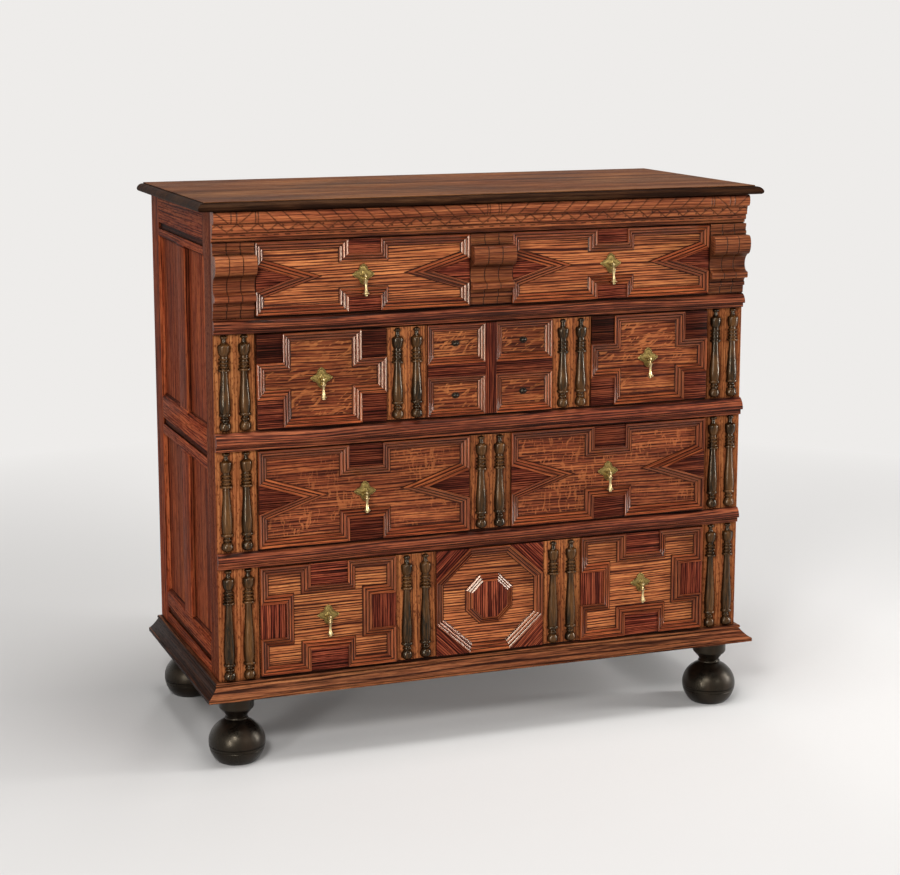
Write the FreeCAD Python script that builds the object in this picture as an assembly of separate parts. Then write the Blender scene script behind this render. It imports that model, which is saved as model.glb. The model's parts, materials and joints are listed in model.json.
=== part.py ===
import FreeCAD, Part
import math
import os

# A joined oak chest of four long drawers. Mitred mouldings, walnut plaques and split
# spindles are applied to its front, and turned brass drops hang on each drawer.
# Sizes are in millimetres. X runs across the front, the front looks towards -Y,
# and Z is measured up from the floor.

Vector = FreeCAD.Vector
os.makedirs("parts", exist_ok=True)

# Case
case_width = 1080.0
case_depth = 480.0
stile_width = 78.0
stile_depth = 60.0

# Front, from the floor up; openings and the rails under them are listed from the top row down
foot_height = 133.5
bottom_rail_height = 34.5
opening_heights = (140.0, 181.0, 190.0, 214.0)
rail_heights = (29.0, 36.0, 32.0)
frieze_height = 56.0
front_rail_depth = 50.0
front_tenon_length = 25.0
front_tenon_thickness = 10.0
front_tenon_setback = 18.0

# Top board with a thumbnail edge on the front and both ends
top_thickness = 17.0
top_overhang = 28.5
top_back_overhang = 3.0
thumbnail_width = 13.5
thumbnail_step = 2.5
thumbnail_lip = 6.0
thumbnail_under = 4.0

# Side and rear framing; channel levels are above the lower edges of the bottom, middle and top rails
frame_thickness = 26.0
frame_top_rail = 90.0
frame_middle_rail = 89.0
frame_bottom_rail = 103.5
upper_panel_height = 312.0
side_muntin_width = 70.0
rear_muntin_width = 90.0
frame_tenon_length = 40.0
frame_tenon_thickness = 9.0
tenon_shoulder = 12.0
muntin_tenon_length = 25.0
rear_tenon_length = 25.0
panel_thickness = 9.0
panel_tongue = 8.0
panel_gap = 0.4
panel_face_gap = 0.2
panel_bevel = 6.0
sill_bevel = 8.5
channel_height = 13.0
channel_depth = 4.0
channel_levels = (60.5, 33.0, 26.0)

# Feet
foot_ball_radius = 54.0
foot_ball_centre = 38.0
foot_contact_radius = 36.0
foot_neck_radius = 19.5
foot_neck_height = 82.0
foot_collar_radius = 33.5
foot_collar_height = 102.0
foot_tenon_width = 20.0
foot_tenon_length = 40.0
foot_tenon_gap = 0.2
rear_foot_inset = 12.0
foot_sides = 12
foot_lower_steps = 2
foot_upper_steps = 4

# Drawers and their runners
drawer_side_gap = 1.5
drawer_top_gap = 2.5
drawer_bottom_gap = 2.0
drawer_back_gap = 14.0
drawer_front_thickness = 22.0
drawer_side_thickness = 16.0
drawer_side_drop = 4.0
drawer_back_thickness = 14.0
drawer_back_drop = 14.0
drawer_bottom_thickness = 10.0
bottom_board_count = 3
bottom_board_gap = 0.3
rabbet_depth = 10.0
runner_height = 18.0
runner_reach = 8.0
runner_side_gap = 1.0
runner_under_gap = 1.0
runner_front_gap = 2.0
runner_back_gap = 5.0

# Applied mouldings and plaques on the drawer fronts; the shares are of the moulding's width and height
moulding_width = 17.0
moulding_height = 10.0
moulding_flat_share = 0.25
moulding_step_share = 0.45
moulding_step_height = 0.55
moulding_toe_height = 0.2
small_moulding_width = 14.0
small_moulding_height = 8.5
mitre_gap = 0.15
edge_margin = 0.5
plaque_height = 8.5
plaque_gap = 0.2
strip_width = 82.0
strip_thickness = 5.0
centre_strip_width = 86.0

# Panels of the first and third rows: square notches above and below, a vee at each end
first_notch_width = 63.0
first_notch_depth = 27.0
first_vee_half = 22.5
first_vee_length = 72.0
third_notch_width = 67.0
third_notch_depth = 43.0
third_vee_half = 27.5
third_vee_length = 83.5

# Second row: crosses at the ends, four small panels round a flat cross in the middle
cross_panel_share = 0.272
cross_corner_width = 49.0
cross_corner_height = 54.0
flat_cross_upright = 22.0
flat_cross_arm = 24.0
boss_width = 16.0
boss_height = 12.0
boss_reach = 6.0
boss_sides = 10
boss_rises = (0.0, 0.6, 0.95)

# Fourth row: square panels notched on all sides, an octagon with a ring in the middle
square_panel_share = 0.29
square_notch_width = 74.0
square_notch_depth = 42.0
square_side_notch_height = 66.0
square_side_notch_depth = 49.0
octagon_flat_half = 42.0
ring_plaque_half = 36.0
ring_moulding_width = 13.5

# Split spindles; the levels are shares of each stretch, measured up
spindle_radius = 11.5
spindle_waist_radius = 7.5
spindle_base_radius = 5.2
finial_neck_radius = 3.5
finial_top_radius = 5.8
spindle_spacing = 38.0
spindle_end_gap = 1.5
finial_length = 16.0
finial_neck_level = 0.4
urn_length = 22.0
urn_widest_level = 0.7
upper_rings_length = 28.0
spindle_collar_length = 4.0
lower_rings_length = 14.0
bulb_length = 20.0
bulb_widest_level = 0.55
spindle_sides = 4

# Corbels; points of the outline from the top down, as shares of the reach and of the height
corbel_reach = 33.0
corbel_gap = 2.0
corbel_cornice = (0.3, 1.0)
corbel_neck = (0.75, 0.84)
corbel_bulge = (1.0, 0.69)
corbel_waist = (0.8, 0.55)
corbel_hollow = (0.2, 0.42)
corbel_bead_top = (0.6, 0.31)
corbel_bead = (0.68, 0.26)
corbel_bead_low = (0.5, 0.2)
corbel_foot = (0.12, 0.12)
corbel_base = (0.1, 0.0)

# Frieze, rail and base mouldings; the frieze levels are shares of its height, measured down
frieze_reach = 25.0
frieze_roll_swell = 5.5
frieze_band_reach = 15.0
frieze_band_batter = 2.0
frieze_bead_reach = 9.5
frieze_fillet_reach = 4.0
frieze_top_gap = 1.0
frieze_roll_level = 0.41
frieze_band_level = 0.72
frieze_bead_level = 0.9
bead_swell = 2.0
rail_moulding_reaches = (14.0, 16.0, 12.0)
rail_moulding_margin = 2.0
rail_fillet_share = 0.33
rail_top_reach_share = 0.25
rail_middle_reach_share = 0.9
rail_fillet_reach_share = 0.5
base_reach = 28.0
base_height = 31.5
base_lip_height = 7.0
base_bead_height = 6.0
base_bead_reach = 10.0
base_hollow_share = 0.45
base_hollow_sag = 2.5

# Pulls: lobed plates, forged staples and trumpet drops
plate_thickness = 1.8
plate_half_width = 21.5
plate_half_height = 20.0
plate_waist_cut = 0.45
plate_lobes = 4
plate_points = 16
staple_radius = 1.1
staple_sides = 8
staple_leg_width = 2.6
staple_half_width = 4.0
staple_reach = 12.0
staple_drop = 2.0
pivot_gap = 0.3
eye_thickness = 4.0
eye_radius = 3.6
drop_neck_radius = 1.9
drop_neck_share = 0.45
drop_bell_radius = 6.5
drop_bell_length = 33.0
drop_rim = 1.5
drop_tip_radius = 2.3
drop_end_radius = 1.3
drop_tip_length = 5.0
drop_eye_overlap = 1.0
drop_sides = 8
first_row_lean = 6.5

# How far a cutting shape runs past the face it cuts, and where the middle of a quarter round lies
cut_overshoot = 1.0
quarter_share = 1 - math.sqrt(0.5)

# Worked out from the sizes above
half_width = case_width / 2
opening_half = half_width - stile_width
front_reach = max(corbel_reach, base_reach, top_overhang)
rear_reach = max(top_back_overhang, foot_ball_radius - stile_depth / 2)
front_y = (front_reach - case_depth - rear_reach) / 2
rear_y = front_y + case_depth
case_bottom = foot_height
stile_centre_x = half_width - stile_width / 2
drawer_half = opening_half - drawer_side_gap
drawer_length = case_depth - frame_thickness - drawer_back_gap
applied_half = drawer_half - edge_margin
cross_panel_width = cross_panel_share * 2 * applied_half
square_panel_width = square_panel_share * 2 * applied_half
vee_panel_near = centre_strip_width / 2 + edge_margin
rows = range(len(opening_heights))

opening_low = [0.0 for row in rows]
opening_high = [0.0 for row in rows]
level = case_bottom + bottom_rail_height
for row in reversed(rows):
    opening_low[row] = level
    opening_high[row] = level + opening_heights[row]
    level = opening_high[row] + (rail_heights[row - 1] if row else frieze_height)
case_top = level

drawer_low = [opening_low[row] + drawer_bottom_gap for row in rows]
drawer_high = [opening_high[row] - drawer_top_gap for row in rows]
runner_centre = [(drawer_low[row] + drawer_high[row]) / 2 for row in rows]


# General shapes
def block(x_range, y_range, z_range):
    """A box between low and high limits on each axis."""
    size = [high - low for low, high in (x_range, y_range, z_range)]
    return Part.makeBox(*size, Vector(x_range[0], y_range[0], z_range[0]))


def mirrored(shape):
    """The same piece on the other side of the chest."""
    return shape.mirror(Vector(0, 0, 0), Vector(1, 0, 0))


def polygon_face(points):
    """A flat face through the points."""
    return Part.Face(Part.makePolygon(list(points) + [points[0]]))


def profile_face(place, start, *moves):
    """A face bounded by lines and arcs.

    place turns a pair of profile numbers into a point. A move of two numbers is a line
    to that pair; a move of four is an arc through the first pair to the second.
    """
    edges = []
    here = place(*start)
    for move in moves + (start,):
        end = place(*move[-2:])
        if len(move) == 4:
            edges.append(Part.Arc(here, place(*move[:2]), end).toShape())
        else:
            edges.append(Part.LineSegment(here, end).toShape())
        here = end
    return Part.Face(Part.Wire(edges))


def stacked_solid(sections):
    """A solid with flat faces between matching points of successive sections, closed at both ends."""
    faces = [polygon_face(sections[0][::-1]), polygon_face(sections[-1])]
    for lower, upper in zip(sections, sections[1:]):
        for index in range(len(lower)):
            before = index - 1
            faces.append(polygon_face([lower[before], lower[index], upper[index], upper[before]]))
    return Part.makeSolid(Part.makeShell(faces))


def turned_rings(outline, sides, sweep):
    """Rings of points round Z for a turned outline of radius and height, swept clockwise from +X."""
    steps = sides if sweep == 360 else sides + 1
    angles = [-math.radians(sweep * step / sides) for step in range(steps)]
    return [
        [Vector(radius * math.cos(angle), radius * math.sin(angle), height) for angle in angles]
        for radius, height in outline
    ]


def on_front(reach, height):
    """A profile point standing reach in front of the stiles, at a height."""
    return Vector(-half_width, front_y - reach, height)


def front_plate(corners, back_y, thickness):
    """A plate with an outline in X and Z, standing forward from back_y."""
    face = polygon_face([Vector(x, back_y, z) for x, z in corners])
    return face.extrude(Vector(0, -thickness, 0))


def inset(corners, distance):
    """The outline moved inwards by a distance; corners run anticlockwise seen from the front."""
    moved = []
    for index, (x, z) in enumerate(corners):
        before = corners[index - 1]
        after = corners[(index + 1) % len(corners)]
        turn_in = math.atan2(z - before[1], x - before[0])
        turn_out = math.atan2(after[1] - z, after[0] - x)
        half_turn = (turn_out - turn_in) / 2
        normal = turn_in + half_turn + math.pi / 2
        length = distance / math.cos(half_turn)
        moved.append((x + length * math.cos(normal), z + length * math.sin(normal)))
    return moved


def export(name, shapes):
    """Write one node with all its solids."""
    solids = [solid for shape in shapes for solid in shape.Solids]
    node = solids[0] if len(solids) == 1 else Part.makeCompound(solids)
    node.exportStep("parts/" + name + ".step")


# Case framing
def front_rails():
    """Frieze rail, the three drawer rails and the bottom rail, with their tenons."""
    levels = [(opening_high[0], case_top), (case_bottom, opening_low[-1])]
    levels += [(opening_high[row + 1], opening_low[row]) for row in rows[:-1]]
    tenon_y = front_y + front_tenon_setback
    rails = []
    for low, high in levels:
        body = block((-opening_half, opening_half), (front_y, front_y + front_rail_depth), (low, high))
        reach = opening_half + front_tenon_length
        tenon = block((-reach, reach), (tenon_y, tenon_y + front_tenon_thickness), (low, high))
        rails.append(body.fuse(tenon).removeSplitter())
    return rails


def frame_levels():
    """Low and high of the bottom, middle and top rails of a side frame."""
    top_low = case_top - frame_top_rail
    middle_high = top_low - upper_panel_height
    return [
        (case_bottom, case_bottom + frame_bottom_rail),
        (middle_high - frame_middle_rail, middle_high),
        (top_low, case_top),
    ]


def side_y_limits():
    """Where the side rails meet the front and rear stiles."""
    return front_y + stile_depth, rear_y - stile_depth


def centred_in_frame(thickness):
    """Low and high X of a tenon or panel centred in the left frame's thickness."""
    centre = -half_width + frame_thickness / 2
    return centre - thickness / 2, centre + thickness / 2


def side_windows():
    """Sight size of the four panels of a side: Y low and high, then Z low and high."""
    y_low, y_high = side_y_limits()
    middle = (y_low + y_high) / 2
    levels = frame_levels()
    spans = [(y_low, middle - side_muntin_width / 2), (middle + side_muntin_width / 2, y_high)]
    return [(span, (below[1], above[0])) for below, above in zip(levels, levels[1:]) for span in spans]


def side_panel(window, extra, face_extra):
    """A left panel with its tongues; extra and face_extra make its groove."""
    (y_low, y_high), (z_low, z_high) = window
    grow = panel_tongue + extra
    x_range = centred_in_frame(panel_thickness + 2 * face_extra)
    return block(x_range, (y_low - grow, y_high + grow), (z_low - grow, z_high + grow))


def side_bevel(window):
    """The bevelled opening in front of a left panel, with a wider sill."""
    (y_low, y_high), (z_low, z_high) = window
    panel_x = centred_in_frame(panel_thickness)[0]
    depth = panel_x + half_width
    sections = []
    for share in (0.0, (depth + cut_overshoot) / depth):
        grow = share * panel_bevel
        x = panel_x - share * depth
        low = z_low - share * sill_bevel
        corners = [
            Vector(x, y_low - grow, low),
            Vector(x, y_high + grow, low),
            Vector(x, y_high + grow, z_high + grow),
            Vector(x, y_low - grow, z_high + grow),
        ]
        sections.append(corners)
    return stacked_solid(sections)


def side_cuts():
    """Grooves and bevels that the left side's panels need in the wood round them."""
    windows = side_windows()
    grooves = [side_panel(window, panel_gap, panel_face_gap) for window in windows]
    return grooves + [side_bevel(window) for window in windows]


def side_rails():
    """Left side rails with tenons and a channel along each."""
    y_low, y_high = side_y_limits()
    x_face = -half_width
    rails = []
    for (low, high), channel_level in zip(frame_levels(), channel_levels):
        body = block((x_face, x_face + frame_thickness), (y_low, y_high), (low, high))
        tenon = block(
            centred_in_frame(frame_tenon_thickness),
            (y_low - frame_tenon_length, y_high + frame_tenon_length),
            (low + tenon_shoulder, high - tenon_shoulder),
        )
        channel_low = low + channel_level - channel_height / 2
        channel = block(
            (x_face, x_face + channel_depth),
            (y_low, y_high),
            (channel_low, channel_low + channel_height),
        )
        rails.append(body.fuse(tenon).cut(channel))
    return rails


def side_muntins():
    """The upright between the two panels of each tier on the left side."""
    y_low, y_high = side_y_limits()
    middle = (y_low + y_high) / 2
    y_range = (middle - side_muntin_width / 2, middle + side_muntin_width / 2)
    tenon_y = (y_range[0] + tenon_shoulder, y_range[1] - tenon_shoulder)
    levels = frame_levels()
    muntins = []
    for below, above in zip(levels, levels[1:]):
        x_range = (-half_width, -half_width + frame_thickness)
        body = block(x_range, y_range, (below[1], above[0]))
        tenon_z = (below[1] - muntin_tenon_length, above[0] + muntin_tenon_length)
        muntins.append(body.fuse(block(centred_in_frame(frame_tenon_thickness), tenon_y, tenon_z)))
    return muntins


def left_side_frame():
    """Rails and muntins of the left side, mortised and grooved."""
    muntins = side_muntins()
    cuts = side_cuts()
    rails = [rail.cut(muntins + cuts) for rail in side_rails()]
    return rails + [muntin.cut(cuts) for muntin in muntins]


def rear_y_centred(thickness):
    """Low and high Y of a tenon or panel centred in the rear frame's thickness."""
    centre = rear_y - frame_thickness / 2
    return centre - thickness / 2, centre + thickness / 2


def rear_levels():
    """Low and high of the rear frame's bottom and top rails."""
    levels = frame_levels()
    return [levels[0], levels[-1]]


def rear_panel(side, extra, face_extra):
    """One of the two rear panels; extra and face_extra make its groove."""
    grow = panel_tongue + extra
    x_ends = sorted((side * (rear_muntin_width / 2 - grow), side * (opening_half + grow)))
    below, above = rear_levels()
    return block(x_ends, rear_y_centred(panel_thickness + 2 * face_extra), (below[1] - grow, above[0] + grow))


def rear_grooves():
    """Grooves for both rear panels."""
    return [rear_panel(side, panel_gap, panel_face_gap) for side in (-1, 1)]


def rear_rails():
    """Top and bottom rails of the back, with tenons."""
    rails = []
    reach = opening_half + rear_tenon_length
    for low, high in rear_levels():
        body = block((-opening_half, opening_half), (rear_y - frame_thickness, rear_y), (low, high))
        tenon_z = (low + tenon_shoulder, high - tenon_shoulder)
        tenon = block((-reach, reach), rear_y_centred(frame_tenon_thickness), tenon_z)
        rails.append(body.fuse(tenon))
    return rails


def rear_muntin():
    """The upright between the two rear panels."""
    half = rear_muntin_width / 2
    below, above = rear_levels()
    body = block((-half, half), (rear_y - frame_thickness, rear_y), (below[1], above[0]))
    tenon_half = half - tenon_shoulder
    tenon_z = (below[1] - muntin_tenon_length, above[0] + muntin_tenon_length)
    return body.fuse(block((-tenon_half, tenon_half), rear_y_centred(frame_tenon_thickness), tenon_z))


def rear_frame():
    """Rails and muntin of the back, mortised and grooved."""
    muntin = rear_muntin()
    grooves = rear_grooves()
    return [rail.cut([muntin] + grooves) for rail in rear_rails()] + [muntin.cut(grooves)]


def left_runner(row):
    """The oak runner that one side of a drawer hangs on, nailed to both left stiles."""
    z = runner_centre[row]
    return block(
        (-opening_half, -drawer_half + runner_reach),
        (
            front_y + drawer_front_thickness + runner_front_gap,
            rear_y - frame_thickness - runner_back_gap,
        ),
        (z - runner_height / 2, z + runner_height / 2),
    )


def foot_centres():
    """Distance from the middle, and Y, of the front and rear feet."""
    front = (stile_centre_x, front_y + stile_depth / 2)
    rear = (stile_centre_x - rear_foot_inset, rear_y - stile_depth / 2)
    return [front, rear]


def foot_tenons(gap):
    """Square tenons of the two left feet; the gap makes their mortises."""
    half = foot_tenon_width / 2 + gap
    z_range = (case_bottom, case_bottom + foot_tenon_length + gap)
    return [block((-x - half, -x + half), (y - half, y + half), z_range) for x, y in foot_centres()]


def left_stile(y_low, across_rails, across_grooves):
    """A left stile with its mortises and grooves."""
    body = block((-half_width, -opening_half), (y_low, y_low + stile_depth), (case_bottom, case_top))
    return body.cut(across_rails + across_grooves + side_rails() + side_cuts() + foot_tenons(foot_tenon_gap))


def ball_curve(end_radius, end_height, steps):
    """Radius and height along a quarter ellipse from the foot's widest ring to another ring."""
    end_angle = math.acos(end_radius / foot_ball_radius)
    tall = (end_height - foot_ball_centre) / math.sin(end_angle)
    angles = [end_angle * step / steps for step in range(steps + 1)]
    return [
        (foot_ball_radius * math.cos(angle), foot_ball_centre + tall * math.sin(angle)) for angle in angles
    ]


def feet():
    """Four turned ball feet, each with a square tenon into its stile."""
    outline = ball_curve(foot_contact_radius, 0.0, foot_lower_steps)[:0:-1]
    outline += ball_curve(foot_neck_radius, foot_neck_height, foot_upper_steps)
    outline.append((foot_collar_radius, foot_collar_height))
    outline.append((foot_collar_radius, foot_height))
    foot = stacked_solid(turned_rings(outline, foot_sides, 360))
    placed = []
    for (x, y), tenon in zip(foot_centres(), foot_tenons(0.0)):
        left = foot.translated(Vector(-x, y, 0)).fuse(tenon)
        placed += [left, mirrored(left)]
    return placed


def top_board():
    """Top board with a thumbnail edge on the front and both ends and a plain back."""
    front_edge = front_y - top_overhang
    back_edge = rear_y + top_back_overhang
    end = half_width + top_overhang
    step_height = top_thickness - thumbnail_step
    thumb_rise = (1 - quarter_share) * (step_height - thumbnail_lip)
    thumb_mid = (quarter_share * thumbnail_width, thumbnail_lip + thumb_rise)
    lip_mid = (quarter_share * thumbnail_under, quarter_share * thumbnail_lip)

    def board(place, far):
        return profile_face(
            place,
            (far, 0.0),
            (thumbnail_under, 0.0),
            lip_mid + (0.0, thumbnail_lip),
            thumb_mid + (thumbnail_width, step_height),
            (thumbnail_width, top_thickness),
            (far, top_thickness),
        )

    def from_front(inwards, height):
        return Vector(-end, front_edge + inwards, case_top + height)

    def from_end(inwards, height):
        return Vector(-end + inwards, front_edge, case_top + height)

    depth = back_edge - front_edge
    front_run = board(from_front, depth).extrude(Vector(end, 0, 0))
    end_run = board(from_end, end).extrude(Vector(0, depth, 0))
    half = front_run.common(end_run)
    return half.fuse(mirrored(half)).removeSplitter()


# Mouldings on the case
def across_front(face):
    """Run a profile face along the whole width of the case."""
    return face.extrude(Vector(case_width, 0, 0))


def frieze_moulding():
    """Pulvinated roll, flat band and bead under the top, in one run."""
    top = case_top - frieze_top_gap
    roll_low = case_top - frieze_roll_level * frieze_height
    band_low = case_top - frieze_band_level * frieze_height
    bead_low = case_top - frieze_bead_level * frieze_height
    roll_edge = frieze_reach - frieze_roll_swell
    bead_edge = frieze_bead_reach - bead_swell
    face = profile_face(
        on_front,
        (0.0, top),
        (roll_edge, top),
        (frieze_reach, (top + roll_low) / 2, roll_edge, roll_low),
        (frieze_band_reach, roll_low),
        (frieze_band_reach - frieze_band_batter, band_low),
        (bead_edge, band_low),
        (frieze_bead_reach, (band_low + bead_low) / 2, bead_edge, bead_low),
        (frieze_fillet_reach, bead_low),
        (frieze_fillet_reach, opening_high[0]),
        (0.0, opening_high[0]),
    )
    return across_front(face)


def rail_moulding(row):
    """Ovolo over a fillet on the rail below a row."""
    high = opening_low[row] - rail_moulding_margin
    low = opening_high[row + 1]
    reach = rail_moulding_reaches[row]
    ovolo_low = low + rail_fillet_share * (high - low)
    middle = (high + ovolo_low) / 2
    face = profile_face(
        on_front,
        (0.0, high),
        (rail_top_reach_share * reach, high),
        (rail_middle_reach_share * reach, middle, reach, ovolo_low),
        (rail_fillet_reach_share * reach, ovolo_low),
        (rail_fillet_reach_share * reach, low),
        (0.0, low),
    )
    return across_front(face)


def base_profile(place):
    """Bead, hollow and lip of the base moulding."""
    low = case_bottom
    high = case_bottom + base_height
    bead_low = high - base_bead_height
    lip_high = low + base_lip_height
    bead_edge = base_bead_reach - bead_swell
    hollow_reach = base_bead_reach + base_hollow_share * (base_reach - base_bead_reach)
    hollow = (hollow_reach, (bead_low + lip_high) / 2 - base_hollow_sag)
    return profile_face(
        place,
        (0.0, low),
        (0.0, high),
        (bead_edge, high),
        (base_bead_reach, high - base_bead_height / 2, bead_edge, bead_low),
        hollow + (base_reach - bead_swell, lip_high),
        (base_reach, lip_high),
        (base_reach, low),
    )


def corner_wedge(along_side):
    """What the mitre takes off the end of the side run or of the front run, at the left corner."""
    far = base_reach + cut_overshoot
    gap = mitre_gap / 2
    inner = Vector(-half_width, front_y, case_bottom)
    outer = Vector(-half_width - far, front_y - far, case_bottom)
    if along_side:
        shift = Vector(0, gap, 0)
        square = Vector(-half_width, front_y - far, case_bottom)
    else:
        shift = Vector(gap, 0, 0)
        square = Vector(-half_width - far, front_y, case_bottom)
    corners = [point + shift for point in (inner, outer, square)]
    return polygon_face(corners).extrude(Vector(0, 0, base_height))


def base_moulding():
    """Front and side runs, mitred at the front corners."""

    def on_front_end(reach, height):
        return Vector(-half_width - base_reach, front_y - reach, height)

    def on_side(reach, height):
        return Vector(-half_width - reach, front_y - base_reach, height)

    wedge = corner_wedge(False)
    front = base_profile(on_front_end).extrude(Vector(case_width + 2 * base_reach, 0, 0))
    front = front.cut([wedge, mirrored(wedge)])
    side = base_profile(on_side).extrude(Vector(0, case_depth + base_reach, 0))
    side = side.cut(corner_wedge(True))
    return [front, side, mirrored(side)]


def corbel(x_low, width, low, high):
    """Swelling corbel: cornice, bulge, hollow, bead and foot from the top down."""

    def at(reach_share, height_share):
        return Vector(x_low, front_y - corbel_reach * reach_share, low + (high - low) * height_share)

    face = profile_face(
        at,
        (0.0, 0.0),
        (0.0, 1.0),
        corbel_cornice,
        (corbel_cornice[0], corbel_neck[1]),
        corbel_neck,
        corbel_bulge + corbel_waist,
        corbel_hollow + corbel_bead_top,
        corbel_bead,
        corbel_bead_low,
        corbel_foot,
        corbel_base,
    )
    return face.extrude(Vector(width, 0, 0))


def stile_corbels():
    """One corbel on each front stile beside the first row."""
    low = opening_low[0]
    high = opening_high[0] - corbel_gap
    left = corbel(-half_width, stile_width, low, high)
    return [left, mirrored(left)]


def spindle(length):
    """Half of a turned spindle, flat at the back, standing on Z = 0."""
    finial_low = length - finial_length
    urn_low = finial_low - urn_length
    shaft_high = urn_low - upper_rings_length
    outline = [
        (spindle_base_radius, 0.0),
        (spindle_radius, bulb_widest_level * bulb_length),
        (spindle_waist_radius, bulb_length),
        (spindle_radius, bulb_length + lower_rings_length),
        (spindle_waist_radius, shaft_high),
        (spindle_radius, shaft_high + spindle_collar_length),
        (spindle_radius, urn_low + urn_widest_level * urn_length),
        (finial_neck_radius, finial_low + finial_neck_level * finial_length),
        (finial_top_radius, length),
    ]
    return stacked_solid(turned_rings(outline, spindle_sides, 180))


def spindle_pair(centre_x, back_y, low, high):
    """Two spindles side by side between two heights."""
    turned = spindle(high - low - 2 * spindle_end_gap)
    return [
        turned.translated(Vector(centre_x + side * spindle_spacing / 2, back_y, low + spindle_end_gap))
        for side in (-1, 1)
    ]


def stile_spindles():
    """A pair on each front stile beside the second, third and fourth rows."""
    pairs = []
    for row in rows[1:]:
        low = opening_low[row] if row < rows[-1] else case_bottom + base_height
        for side in (-1, 1):
            pairs += spindle_pair(side * stile_centre_x, front_y, low, opening_high[row])
    return pairs


# Applied work on the drawer fronts
def moulding_section(width, height):
    """Stepped profile from the high edge down to the field: distance in, height."""
    return [
        (0.0, 0.0),
        (0.0, height),
        (moulding_flat_share * width, height),
        (moulding_step_share * width, moulding_step_height * height),
        (width, moulding_toe_height * height),
        (width, 0.0),
    ]


def mitred_frame(corners, width, height):
    """One mitred length of moulding along each side of an outline, its high edge outwards."""
    inner = inset(corners, width)
    section = moulding_section(width, height)
    lengths = []
    for index in range(len(corners)):
        ends = []
        for step, other in ((index, index + 1), (index + 1, index)):
            here = corners[step % len(corners)]
            there = corners[other % len(corners)]
            deep = inner[step % len(corners)]
            run = math.hypot(there[0] - here[0], there[1] - here[1])
            gap_x = (there[0] - here[0]) / run * mitre_gap
            gap_z = (there[1] - here[1]) / run * mitre_gap
            points = []
            for distance, rise in section:
                share = distance / width
                x = here[0] + share * (deep[0] - here[0]) + gap_x
                z = here[1] + share * (deep[1] - here[1]) + gap_z
                points.append(Vector(x, front_y - rise, z))
            ends.append(points)
        lengths.append(stacked_solid(ends))
    return lengths


def plaque(corners):
    """A walnut plaque that fills an outline."""
    return front_plate(inset(corners, plaque_gap), front_y, plaque_height)


def rectangle(x_low, x_high, z_low, z_high):
    """Corners of a rectangle, anticlockwise seen from the front."""
    return [(x_low, z_low), (x_high, z_low), (x_high, z_high), (x_low, z_high)]


def field_limits(row):
    """Low and high of the applied work on a drawer front."""
    return drawer_low[row] + edge_margin, drawer_high[row] - edge_margin


def vee_panel(row, side, notch_width, notch_depth, vee_half, vee_length):
    """Mouldings and plaques of one half of the first or third row."""
    z_low, z_high = field_limits(row)
    x_low, x_high = sorted((side * vee_panel_near, side * applied_half))
    x_mid = (x_low + x_high) / 2
    z_mid = (z_low + z_high) / 2
    left = x_mid - notch_width / 2
    right = x_mid + notch_width / 2
    outline = [
        (x_low, z_low),
        (left, z_low),
        (left, z_low + notch_depth),
        (right, z_low + notch_depth),
        (right, z_low),
        (x_high, z_low),
        (x_high, z_mid - vee_half),
        (x_high - vee_length, z_mid),
        (x_high, z_mid + vee_half),
        (x_high, z_high),
        (right, z_high),
        (right, z_high - notch_depth),
        (left, z_high - notch_depth),
        (left, z_high),
        (x_low, z_high),
        (x_low, z_mid + vee_half),
        (x_low + vee_length, z_mid),
        (x_low, z_mid - vee_half),
    ]
    plaques = [
        plaque(rectangle(left, right, z_low, z_low + notch_depth)),
        plaque(rectangle(left, right, z_high - notch_depth, z_high)),
        plaque([(x_low, z_mid - vee_half), (x_low + vee_length, z_mid), (x_low, z_mid + vee_half)]),
        plaque([(x_high, z_mid + vee_half), (x_high - vee_length, z_mid), (x_high, z_mid - vee_half)]),
    ]
    return mitred_frame(outline, moulding_width, moulding_height), plaques


def spindle_strip(row, centre_x, width):
    """The plain oak strip behind a pair of spindles."""
    z_low, z_high = field_limits(row)
    half = width / 2 - edge_margin
    return front_plate(rectangle(centre_x - half, centre_x + half, z_low, z_high), front_y, strip_thickness)


def strip_spindles(row, centre_x):
    """A pair of spindles on a drawer's strip."""
    z_low, z_high = field_limits(row)
    return spindle_pair(centre_x, front_y - strip_thickness, z_low, z_high)


def cross_panel(row, side):
    """Cross-shaped panel with four corner plaques at one end of the second row."""
    z_low, z_high = field_limits(row)
    x_low, x_high = sorted((side * (applied_half - cross_panel_width), side * applied_half))
    x_cuts = (x_low + cross_corner_width, x_high - cross_corner_width)
    z_cuts = (z_low + cross_corner_height, z_high - cross_corner_height)
    outline = [
        (x_cuts[0], z_low),
        (x_cuts[1], z_low),
        (x_cuts[1], z_cuts[0]),
        (x_high, z_cuts[0]),
        (x_high, z_cuts[1]),
        (x_cuts[1], z_cuts[1]),
        (x_cuts[1], z_high),
        (x_cuts[0], z_high),
        (x_cuts[0], z_cuts[1]),
        (x_low, z_cuts[1]),
        (x_low, z_cuts[0]),
        (x_cuts[0], z_cuts[0]),
    ]
    plaques = []
    for x_range in ((x_low, x_cuts[0]), (x_cuts[1], x_high)):
        for z_range in ((z_low, z_cuts[0]), (z_cuts[1], z_high)):
            plaques.append(plaque(rectangle(*x_range, *z_range)))
    return mitred_frame(outline, moulding_width, moulding_height), plaques


def middle_half(panel_width):
    """Half the width left between the two strips of the second or fourth row."""
    return applied_half - panel_width - strip_width


def strip_centre(panel_width):
    """Distance of a strip's centre from the middle of the front."""
    return middle_half(panel_width) + strip_width / 2


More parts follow.
